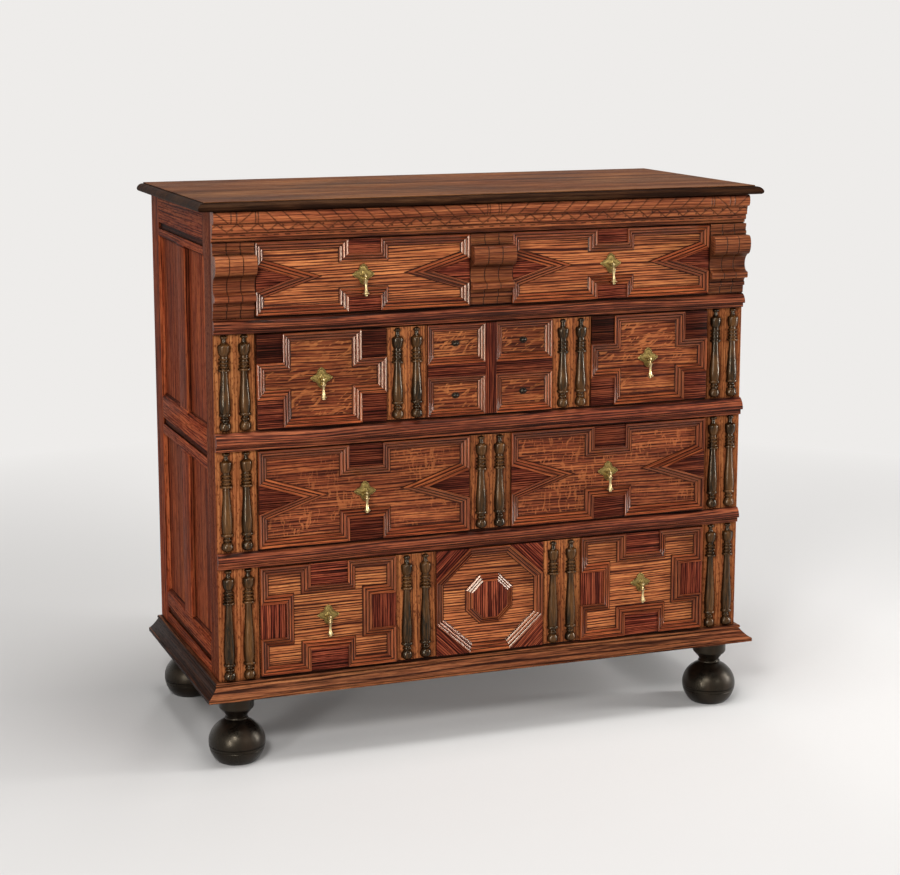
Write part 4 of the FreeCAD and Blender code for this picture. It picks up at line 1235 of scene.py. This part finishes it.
@dataclass
class SplitSpindles:
    """Half-round turned spindles in pairs."""

    segments: int = 20
    finial: float = 16.0 * MM
    urn: float = 22.0 * MM
    upper_rings: float = 28.0 * MM
    lower_rings: float = 14.0 * MM
    bulb: float = 20.0 * MM
    hollow_share: float = 0.75
    hollow_gain: float = 1.8
    # painted shade on the sides that turn away from the front
    side_shade_start: float = 1.25
    side_shade_gain: float = 1.35

    def profile(self, radius: float, length: float) -> list[Pair]:
        """Radius and height from the bottom up.

        Args:
            radius: Largest radius.
            length: Length of the spindle.

        Returns:
            Points of the outline.
        """
        r = radius
        line = Outline((0.42 * r, 0.0)).line((0.5 * r, 0.6 * MM))
        line.bend((1.06 * r, 0.12 * self.bulb), (0.97 * r, 0.5 * self.bulb), 7)
        line.bend((0.9 * r, 0.84 * self.bulb), (0.5 * r, 0.92 * self.bulb), 6)
        z = self.bulb
        line.line((0.5 * r, z)).bead((0.55 * r, z + 0.32 * self.lower_rings), -0.24 * r, 6)
        line.line((0.5 * r, z + 0.42 * self.lower_rings), (0.56 * r, z + 0.55 * self.lower_rings))
        z += self.lower_rings
        line.line((0.92 * r, z - 0.36 * self.lower_rings)).bead((0.92 * r, z), -0.1 * r, 6)
        top = length - self.finial - self.urn - self.upper_rings
        shaft = top - z
        line.line((0.8 * r, z + 0.5 * MM))
        line.bend((1.0 * r, z + 0.1 * shaft), (0.92 * r, z + 0.3 * shaft), 5)
        line.bend((0.62 * r, z + 0.75 * shaft), (0.52 * r, top), 6)
        step = self.upper_rings / 4
        line.line((0.96 * r, top + 0.4 * MM)).bead((0.96 * r, top + 0.55 * step), -0.06 * r, 5)
        for ring in range(3):
            z = top + (ring + 0.85) * step
            line.line((0.58 * r, z - 0.2 * step), (0.58 * r, z))
            line.bead((0.58 * r, z + 0.62 * step), -0.34 * r, 6)
        z = top + self.upper_rings
        line.line((0.56 * r, z)).bend((0.7 * r, z), (0.86 * r, z + 0.22 * self.urn), 5)
        line.bend((1.0 * r, z + 0.55 * self.urn), (0.97 * r, z + 0.86 * self.urn), 6)
        line.line((0.9 * r, z + 0.93 * self.urn))
        line.bend((0.35 * r, z + 0.98 * self.urn), (0.32 * r, z + 1.3 * self.urn), 7)
        line.line((0.3 * r, length - 0.42 * self.finial)).bead((0.3 * r, length - 1.2 * MM), -0.3 * r, 7)
        line.line((0.36 * r, length - 0.6 * MM), (0.3 * r, length))
        return line.points

    def dirt_and_shade(self, outline: Sequence[Pair], radius: float) -> Array:
        """Black left in the hollows of the turning, and painted shade along its sides.

        Args:
            outline: Radius and height from the bottom up.
            radius: Largest radius.

        Returns:
            Black kept at each point: in worn hollows, and as painted shade on the sides.
        """
        share = np.repeat([point[0] for point in outline], self.segments + 1) / radius
        hollows = np.clip((self.hollow_share - share) * self.hollow_gain, 0.0, 1.0)
        # Painted shade: the sides turning away from the front stay black, leaving the front lighter.
        facing = np.sin(math.pi * np.arange(self.segments + 1) / self.segments)
        edges = np.clip(self.side_shade_start - self.side_shade_gain * facing, 0.0, 1.0)
        return np.maximum(hollows, np.tile(edges, len(outline)))

    def build(self) -> None:
        """Make the spindles on the stiles and on the drawers."""
        places = {"stile_spindles": "case"}
        places.update({f"drawer_{row}_spindles": f"drawer_{row}" for row in ROWS[1:]})
        for node, body in places.items():
            work = Workpiece(node + "_turned")
            for solid in solids_of(node):
                low, high = solid.low, solid.high
                radius = (high[0] - low[0]) / 2
                outline = self.profile(radius, high[2] - low[2])
                points, faces = turn(outline, self.segments, half=True)
                points = points + np.array([solid.middle[0], high[1], low[2]])
                work.add((points, faces), UPRIGHT, dirt_and_shade=self.dirt_and_shade(outline, radius))
            work.dress(RUBBED_BLACK, body, node, smooth=50.0)


@dataclass
class BallFeet:
    """Turned ball feet under flaring collars, with two lines cut round each ball."""

    segments: int = 64
    ball_steps: int = 46
    ball_radius: float = 54.0 * MM
    ball_centre: float = 38.0 * MM
    contact_radius: float = 36.0 * MM
    neck_radius: float = 19.5 * MM
    neck_height: float = 82.0 * MM
    collar_radius: float = 33.5 * MM
    collar_height: float = 104.0 * MM
    cut_heights: Pair = (33.0 * MM, 27.0 * MM)
    cut_depth: float = 1.0 * MM
    cut_width: float = 1.1 * MM
    floor_dirt: float = 6.0 * MM

    def ball(self, height: float) -> float:
        """Radius of the ball, flatter below its middle than above.

        Args:
            height: Height above the floor.

        Returns:
            The radius there.
        """
        run, end = self.ball_centre, self.contact_radius
        if height >= self.ball_centre:
            run, end = self.neck_height - self.ball_centre, self.neck_radius
        tall = run / math.sqrt(1 - (end / self.ball_radius) ** 2)
        return self.ball_radius * math.sqrt(max(0.0, 1 - ((height - self.ball_centre) / tall) ** 2))

    def profile(self, top: float) -> list[Pair]:
        """Radius and height from the floor up.

        Args:
            top: Height of the foot.

        Returns:
            Points of the outline.
        """
        line = Outline((0.2 * self.contact_radius, 0.0)).line((self.contact_radius - 1.2 * MM, 0.0))
        heights = list(np.linspace(0.8 * MM, self.neck_height - 1.5 * MM, self.ball_steps))
        for cut in self.cut_heights:
            heights += [cut - self.cut_width, cut, cut + self.cut_width]
        for height in sorted(heights):
            groove = self.cut_depth if height in self.cut_heights else 0.0
            line.line((self.ball(height) - groove, height))
        neck, above = self.neck_radius, self.neck_height
        collar, under = self.collar_radius, self.collar_height
        line.line((neck, above)).bead((neck + 1.0 * MM, above + 5 * MM), -2.2 * MM, 6)
        line.line((neck, above + 6 * MM))
        line.bend((neck + 1.5 * MM, above + 11 * MM), (collar - 1.5 * MM, under), 9)
        line.bend((collar, under + 1.5 * MM), (collar, under + 4 * MM), 3).line((collar, top))
        return line.points

    def build(self) -> None:
        """Make the feet."""
        work = Workpiece("feet_turned")
        for solid in solids_of("feet"):
            ring = solid.points[np.abs(solid.points[:, 2]) < 5 * WELD]
            centre = (ring.min(axis=0) + ring.max(axis=0)) / 2
            top = min(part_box("base_moulding")[0].z, solid.high[2])
            points, faces = turn(self.profile(top), self.segments)
            heights = points[:, 2]
            dirt_and_shade = np.clip(1.2 - heights / self.floor_dirt, 0.0, 1.0)
            for cut in self.cut_heights:
                near = np.abs(heights - cut) / self.cut_width
                dirt_and_shade = np.maximum(dirt_and_shade, np.clip(1.3 - near, 0.0, 1.0))
            work.add((points + np.array([centre[0], centre[1], 0.0]), faces), UPRIGHT, dirt_and_shade=dirt_and_shade)
        work.dress(BLACK_FOOT, "case", "feet", smooth=40.0)


@dataclass
class AppliedWork:
    """Mitred mouldings, plain strips, plaques and bosses planted on the drawer fronts."""

    arris: float = 0.5 * MM
    strip_corners: int = 8
    strip_spread: float = 0.1
    moulding_spread: float = 0.14
    plaque_spread: float = 0.15
    spandrel_corners: int = 6
    narrow: float = 3.0
    near_square: float = 0.98
    cross_half: float = 150.0 * MM
    reeds: tuple[Pair, ...] = ((0.04, 1.0), (0.37, 0.74), (0.70, 0.48))
    # painted shade in the quirks between the reeds
    quirk_shade: float = 0.8
    # painted shade at the foot against the field
    foot_shade: float = 0.9
    plaque_tones: tuple[float, ...] = (0.8, 0.0, 0.26, 1.0)
    plaque_grime: tuple[float, ...] = (0.0, 0.3, 0.0, 0.0)
    low_plaque_tone: float = 0.4
    cross_tone: float = 0.5
    boss_rings: int = 7
    boss_segments: int = 24

    def section(self) -> tuple[Array, Array]:
        """The moulding's profile from its high outer edge in to the field.

        Returns:
            Shares of its width and height, and the painted shade at each point.
        """
        line = Outline((0.0, 0.0)).line((0.0, 0.96), (0.012, 1.0))
        for start, crest in self.reeds:
            line.line((start, crest)).bend((start + 0.11, crest - 0.11), (start + 0.21, crest - 0.24), 4)
            line.line((start + 0.225, crest - 0.36), (start + 0.315, crest - 0.36))
        line.points.pop()
        line.line((0.93, 0.14), (0.985, 0.14), (1.0, 0.12), (1.0, 0.0))
        points = np.array(line.points)
        # Painted shade in the quirks and at the foot against the field.
        dirt_and_shade = np.zeros(len(points))
        for start, _ in self.reeds:
            quirk = (points[:, 0] > start + 0.22) & (points[:, 0] < start + 0.32)
            dirt_and_shade[quirk] = self.quirk_shade
        dirt_and_shade[-1] = self.foot_shade
        return points, dirt_and_shade

    def moulding(self, work: Workpiece, solid: Solid) -> None:
        """Add one mitred length, drawn finely between the mitres that the CAD has.

        Args:
            work: The object that it becomes part of.
            solid: The CAD solid.
        """
        back = solid.high[1]
        tall = back - solid.low[1]
        flat = solid.points[:, [0, 2]]
        crest = flat[solid.points[:, 1] < solid.low[1] + TOUCH]
        foot = flat[solid.points[:, 1] > back - TOUCH]
        gaps = np.linalg.norm(foot[:, None] - crest[None], axis=2).min(axis=1)
        order = np.argsort(gaps)
        outer, inner = foot[order[:2]], foot[order[2:]]
        run = outer[1] - outer[0]
        inner = inner[np.argsort((inner - outer[0]) @ run)]
        outer = outer[np.argsort((outer - outer[0]) @ run)]
        shape, dirt_and_shade = self.section()
        ends = []
        for start, end in zip(outer, inner):
            place = start + shape[:, :1] * (end - start)
            ends.append(np.stack([place[:, 0], back - shape[:, 1] * tall, place[:, 1]], axis=1))
        along = np.array([run[0], 0.0, run[1]])
        work.add(loft(np.array(ends)), along, self.moulding_spread, dirt_and_shade=np.tile(dirt_and_shade, 2))

    def mouldings(self, row: int) -> None:
        """Make the mouldings and the strips behind the spindles of one drawer.

        Args:
            row: Number of the drawer.
        """
        node = f"drawer_{row}_mouldings"
        runs = Workpiece(f"drawer_{row}_moulding_runs")
        strips = Workpiece(f"drawer_{row}_spindle_strips")
        for solid in solids_of(node):
            if len(solid.points) == self.strip_corners:
                strips.add(eased(solid, self.arris), UPRIGHT, self.strip_spread)
            else:
                self.moulding(runs, solid)
        runs.dress(MOULDING_OAK, f"drawer_{row}", node, smooth=30.0)
        if strips.count:
            strips.dress(STRIP_OAK, f"drawer_{row}", node)

    def plaques(self, row: int) -> None:
        """Make the walnut plaques of one drawer, the spandrels' grain along their long edges.

        Args:
            row: Number of the drawer.
        """
        node = f"drawer_{row}_plaques"
        work = Workpiece(f"drawer_{row}_plaques_eased")
        low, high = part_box(f"drawer_{row}_front")
        front = (low + high) / 2
        for solid in solids_of(node):
            wide, _, tall = solid.high - solid.low
            along = LEVEL
            if row == 4 and len(solid.points) == self.spandrel_corners:
                middle = solid.points.mean(axis=0) - solid.middle
                along = np.array([middle[2] * wide / tall, 0.0, -middle[0]])
            elif tall > self.narrow * wide or (row == 4 and tall > self.near_square * wide):
                along = UPRIGHT
            tone, dirt_and_shade = self.plaque_tones[row - 1], self.plaque_grime[row - 1]
            if row == 2 and abs(solid.middle[0]) < self.cross_half:
                tone, dirt_and_shade = self.cross_tone, 0.0
            elif row == 2 and solid.middle[2] < front.z:
                tone, dirt_and_shade = self.low_plaque_tone, 0.0
            work.add(eased(solid, self.arris), along, self.plaque_spread, tone, dirt_and_shade)
        work.dress(WALNUT, f"drawer_{row}", node)

    def bosses(self) -> None:
        """Make the oval bosses of the second drawer."""
        work = Workpiece("drawer_2_bosses_carved")
        outline = Outline((1.0, 0.0)).line((1.0, 0.125), (0.86, 0.17), (0.8, 0.15))
        outline.bend((0.78, 0.5), (0.18, 0.95), self.boss_rings).line((0.05, 1.0))
        for solid in solids_of("drawer_2_bosses"):
            work.add(mound(solid, outline.points, np.ones(self.boss_segments)), LEVEL)
        work.dress(BLACK_FOOT, "drawer_2", "drawer_2_bosses", smooth=50.0)

    def build(self) -> None:
        """Dress all four drawer fronts."""
        for row in ROWS:
            self.mouldings(row)
            self.plaques(row)
        self.bosses()


@dataclass
class DropPulls:
    """Cast plates with fleury edges, wire staples and trumpet drops."""

    side_arm: tuple[Pair, ...] = (
        (0, 1.0), (5, 0.97), (10, 0.89), (15, 0.8), (21, 0.81), (26, 0.71), (35, 0.64)
    )
    upper_arm: tuple[Pair, ...] = (
        (45, 0.62), (55, 0.66), (61, 0.76), (67, 0.83), (74, 0.83), (79, 0.92), (90, 1.0)
    )
    plate_rim: tuple[Triple, ...] = (
        (1.0, 0.0, 0.0), (1.0, 0.55, 0.0), (0.95, 1.0, 0.0), (0.87, 1.02, 0.1), (0.84, 0.72, 1.0)
    )
    plate_dome: tuple[Triple, ...] = (
        (0.8, 1.0, 0.2), (0.6, 1.15, 0.0), (0.4, 1.35, 0.15), (0.36, 1.15, 0.8), (0.32, 1.4, 0.0),
        (0.1, 1.7, 0.0),
    )
    plate_points: int = 144
    wire_segments: int = 10
    wire_steps: int = 28
    wire_half_width: float = 4.9 * MM
    wire_radius: float = 1.1 * MM
    wire_bow: Pair = (0.6, 0.45)
    wire_grime: float = 0.25
    drop_segments: int = 28
    drop_tip: float = 1.5 * MM
    drop_waist: float = 0.055
    waist_gain: float = 16.0
    waist_grime: float = 0.6
    eye_grime: float = 0.1
    eye_radius: float = 2.6 * MM
    eye_wire: float = 1.0 * MM
    eye_stretch: float = 1.6
    eye_steps: int = 20
    eye_segments: int = 8

    def plate(self, work: Workpiece, solid: Solid) -> None:
        """Add one plate, thin at its rim, with a line engraved round it and a low dome.

        Args:
            work: The object that it becomes part of.
            solid: The CAD solid.
        """
        angles = full_turn(self.plate_points)
        folded = np.degrees(np.arctan2(np.abs(np.sin(angles)), np.abs(np.cos(angles))))
        edge = np.interp(folded, *zip(*self.side_arm, *self.upper_arm))
        scales, rises, dirt = zip(*self.plate_rim, *self.plate_dome)
        shape = mound(solid, list(zip(scales, rises)), edge)
        work.add(shape, LEVEL, dirt_and_shade=np.repeat(dirt, self.plate_points))

    def staple(self, work: Workpiece, solid: Solid, pivot: Array) -> None:
        """Add one staple, a bent wire that the drop hangs on.

        Args:
            work: The object that it becomes part of.
            solid: The CAD solid.
            pivot: Middle of the bar.
        """
        angles = np.linspace(0.0, math.pi, self.wire_steps)
        reach = solid.high[1] - pivot[1]
        bow, belly = self.wire_bow
        x = pivot[0] - self.wire_half_width * np.sign(np.cos(angles)) * np.abs(np.cos(angles)) ** bow
        y = solid.high[1] - reach * np.abs(np.sin(angles)) ** belly
        path = np.stack([x, y, np.full(len(x), pivot[2])], axis=1)
        run = np.gradient(path, axis=0)
        run /= np.linalg.norm(run, axis=1)[:, None]
        side = np.cross(run, UPRIGHT)
        turns = full_turn(self.wire_segments)[None, :, None]
        round_wire = np.cos(turns) * side[:, None] + np.sin(turns) * UPRIGHT
        work.add(loft(path[:, None] + self.wire_radius * round_wire), LEVEL, dirt_and_shade=self.wire_grime)

    def profile(self) -> list[Pair]:
        """Draw a drop of unit length from its tip up.

        Returns:
            Radius and height above the pivot, which is negative.
        """
        line = Outline((0.02, -1.0)).bend((0.07, -0.99), (0.07, -0.955), 5)
        line.bend((0.07, -0.915), (0.035, -0.905), 4).line((0.055, -0.885), (0.150, -0.88))
        line.bead((0.160, -0.845), -0.018, 5).line((0.135, -0.835))
        line.bend((0.075, -0.74), (0.06, -0.55), 9).bend((0.055, -0.45), (0.075, -0.37), 5)
        line.bend((0.095, -0.29), (0.125, -0.265), 5).bead((0.125, -0.225), -0.015, 4)
        line.bend((0.06, -0.21), (0.045, -0.16), 5).line((0.035, -0.1))
        return line.points

    def eye(self) -> Shape:
        """Make the pierced eye round the pivot.

        Returns:
            Points and faces.
        """
        turns, wires = full_turn(self.eye_steps)[:, None], full_turn(self.eye_segments)[None, :]
        spread = self.eye_radius + self.eye_wire * np.cos(wires)
        across = self.eye_stretch * self.eye_wire * np.sin(wires)
        ring = np.broadcast_arrays(across, spread * np.cos(turns), spread * np.sin(turns))
        ring = np.stack(ring, axis=2)
        return loft(np.concatenate([ring, ring[:1]]), caps=False)

    def drop(self, name: str, pivot: Array) -> None:
        """Make one drop where the CAD has it.

        Args:
            name: The drop's node and body.
            pivot: Middle of the bar that it swings on.
        """
        away = solids_of(name)[0].points - pivot
        length = np.linalg.norm(away, axis=1).max()
        tip = away[np.linalg.norm(away, axis=1) > length - self.drop_tip].mean(axis=0)
        lean = math.atan2(tip[1], -tip[2])
        cos, sin = math.cos(lean), math.sin(lean)
        tilt = np.array([[1.0, 0.0, 0.0], [0.0, cos, -sin], [0.0, sin, cos]])
        points, faces = turn([(r * length, h * length) for r, h in self.profile()], self.drop_segments)
        radius = np.hypot(points[:, 0], points[:, 1])
        dirt_and_shade = np.clip((self.drop_waist - radius / length) * self.waist_gain, 0.0, self.waist_grime)
        ring, ring_faces = self.eye()
        work = Workpiece(name + "_turned")
        work.add((points @ tilt.T + pivot, faces), UPRIGHT, dirt_and_shade=dirt_and_shade)
        work.add((ring @ tilt.T + pivot, ring_faces), LEVEL, dirt_and_shade=self.eye_grime)
        work.dress(RUBBED_BRASS, name, name, smooth=45.0)

    def build(self) -> None:
        """Make the plates, staples and drops of every drawer."""
        swings = [joint for joint in frame["joints"] if "pos_m" in joint]
        pivots = {joint["child"]: np.array(joint["pos_m"], float) for joint in swings}
        for row in ROWS:
            work = Workpiece(f"drawer_{row}_pull_plates_cast")
            for solid in solids_of(f"drawer_{row}_pull_plates"):
                side = "left" if solid.middle[0] < 0 else "right"
                pivot = pivots[f"drawer_{row}_{side}_drop"]
                if solid.high[0] - solid.low[0] > 4 * self.wire_half_width:
                    self.plate(work, solid)
                else:
                    self.staple(work, solid, pivot)
            work.dress(BRASS, f"drawer_{row}", f"drawer_{row}_pull_plates", smooth=35.0)
        for name, pivot in pivots.items():
            self.drop(name, pivot)


@dataclass
class DrawerBoxes:
    """Fronts, sides, backs and bottoms of the drawers."""

    fronts: tuple[Finish, ...] = (FIELD_OAK, FLECKED_OAK, RIPPLED_OAK, FIELD_OAK)
    front_tones: tuple[float, ...] = (0.62, 0.22, 0.41, 0.58)

    def build(self) -> None:
        """Dress the boards, which stay as the CAD has them."""
        for row in ROWS:
            finish, tone = self.fronts[row - 1], self.front_tones[row - 1]
            dress_node(f"drawer_{row}_front", finish, Grain.ACROSS, 0.0, tone)
            dress_node(f"drawer_{row}_sides", LINING_OAK, Grain.DEEP)
            dress_node(f"drawer_{row}_back", LINING_OAK, Grain.ACROSS)
            dress_node(f"drawer_{row}_bottom", LINING_OAK, Grain.DEEP)


@dataclass
class Lamp:
    """A soft box."""

    name: str
    place: Triple
    size: Pair
    power: float
    aim: Triple = (0.0, 0.0, 0.5)

    def build(self) -> None:
        """Hang the lamp and turn it to the chest."""
        light = bpy.data.lights.new(self.name, "AREA")
        light.shape = "RECTANGLE"
        light.size, light.size_y = self.size
        light.energy = self.power
        lamp = bpy.data.objects.new(self.name, light)
        lamp.location = self.place
        lamp.rotation_euler = (Vector(self.aim) - Vector(self.place)).to_track_quat("-Z", "Y").to_euler()
        lamp.visible_camera = False
        bpy.context.scene.collection.objects.link(lamp)
        LOG.info("%s: %g W", self.name, self.power)


@dataclass
class Studio:
    """Pale floor, soft light and the camera."""

    place: Triple = (-1.4390, -3.8433, 1.3833)
    yaw: float = 20.634
    pitch: float = 10.248
    lens: float = 82.52
    sensor: float = 36.0
    shift: float = -0.05
    backdrop: Triple = shade(238, 236, 234)
    ceiling: Triple = shade(120, 119, 118)
    fade_heights: Pair = (0.35, 0.75)
    ambient: float = 0.09
    floor_half: float = 40.0
    # painted light: the floor is darker at the left, lighter at the right
    floor_left: Triple = shade(182, 180, 178)
    floor_right: Triple = shade(216, 214, 212)
    floor_grit: Triple = shade(205, 203, 200)
    floor_width: Pair = (-2.2, 1.6)
    floor_fade: Pair = (0.7, 2.8)
    bounce: float = 0.4
    lamps: tuple[Lamp, ...] = (
        Lamp("left_box", (-2.7, -2.5, 0.75), (0.3, 1.4), 64.0),
        Lamp("right_box", (2.6, -0.9, 0.9), (0.2, 1.4), 50.0),
        Lamp("key_box", (-1.9, -3.2, 2.5), (0.6, 0.6), 86.0),
        Lamp("front_box", (1.6, -4.0, 1.9), (1.2, 1.2), 20.0),
        Lamp("top_box", (0.0, -0.7, 4.4), (2.5, 1.6), 140.0),
        Lamp("rear_box", (0.8, 2.8, 0.75), (0.6, 0.6), 26.0),
    )

    def camera(self) -> None:
        """Set up the camera at the photograph's angle."""
        data = bpy.data.cameras.new("camera")
        data.sensor_width = self.sensor
        data.lens = self.lens
        data.shift_y = self.shift
        eye = bpy.data.objects.new("camera", data)
        eye.location = self.place
        eye.rotation_euler = (math.radians(90 - self.pitch), 0.0, math.radians(-self.yaw))
        bpy.context.scene.collection.objects.link(eye)
        bpy.context.scene.camera = eye

    def seen(self, g: Graph) -> Socket:
        """Tell the rays that show a surface from those that light the chest.

        Args:
            g: The material or world that asks.

        Returns:
            One for a ray from the camera, a glossy surface or glass, else nothing.
        """
        total = g.add("LightPath", out="Is Camera Ray")
        for ray in ("Is Glossy Ray", "Is Transmission Ray"):
            total = g.math("MAXIMUM", total, g.add("LightPath", out=ray))
        return total

    def world(self) -> None:
        """Soft even light, seen as a pale backdrop under a dim ceiling."""
        world = bpy.data.worlds.new("studio")
        bpy.context.scene.world = world
        g = Graph(world)
        soft = g.add("Background", (1.0, 1.0, 1.0, 1.0), self.ambient)
        rise = g.add("SeparateXYZ", g.add("TexCoord", out="Generated"), out="Z")
        pale = g.add("Background", g.ramp(rise, *zip(self.fade_heights, (self.backdrop, self.ceiling))))
        g.close(g.add("MixShader", self.seen(g), soft, pale), "World")

    def floor(self) -> None:
        """A pale floor that runs into the backdrop far from the chest and throws little light back."""
        half = self.floor_half
        corners = [(-half, -half, 0), (half, -half, 0), (half, half, 0), (-half, half, 0)]
        mesh = bpy.data.meshes.new("floor")
        mesh.from_pydata(corners, [], [(0, 1, 2, 3)])
        floor = bpy.data.objects.new("floor", mesh)
        bpy.context.scene.collection.objects.link(floor)
        mesh.materials.append(bpy.data.materials.new("floor"))
        g = Graph(mesh.materials[0])
        seen = self.seen(g)
        place = g.add("TexCoord", out="Object")
        # Painted light: the floor is drawn darker towards the left and lighter towards the right.
        across = g.remap(g.add("SeparateXYZ", place, out="X"), self.floor_width)
        tone = g.ramp(across, (0.0, self.floor_left), (1.0, self.floor_right))
        grit = g.remap(g.noise(place, 3.0, 3.0, 4.0), g.usual, 0.0, 0.05)
        tone = g.mix(grit, tone, self.floor_grit)
        colour = g.mix(seen, g.tint(tone, (self.bounce,) * 3), tone)
        pale = g.surface(Base_Color=colour, Roughness=0.75, Specular_IOR_Level=0.1)
        apart = g.add("VectorMath", place, out="Value", operation="LENGTH")
        far = g.times(g.remap(apart, self.floor_fade), seen)
        g.close(g.add("MixShader", far, pale, g.add("Emission", (*self.backdrop, 1.0))))

    def build(self) -> None:
        """Set up camera, world, floor and lamps."""
        bpy.context.scene.view_settings.view_transform = "Standard"
        self.camera()
        self.world()
        self.floor()
        for lamp in self.lamps:
            lamp.build()


class Part(Protocol):
    """What main asks of every sub-assembly."""

    def build(self) -> None:
        """Make the pieces and dress them."""


def main() -> None:
    """Build every part of the chest and the studio."""
    logging.basicConfig(level=logging.INFO, format="%(name)s %(message)s")
    parts: tuple[Part, ...] = (
        Studio(),
        CaseJoinery(),
        Frieze(),
        Corbels(),
        SplitSpindles(),
        BallFeet(),
        DrawerBoxes(),
        AppliedWork(),
        DropPulls(),
    )
    for part in parts:
        part.build()
    bpy.context.view_layer.update()


if __name__ == "__main__":
    main()
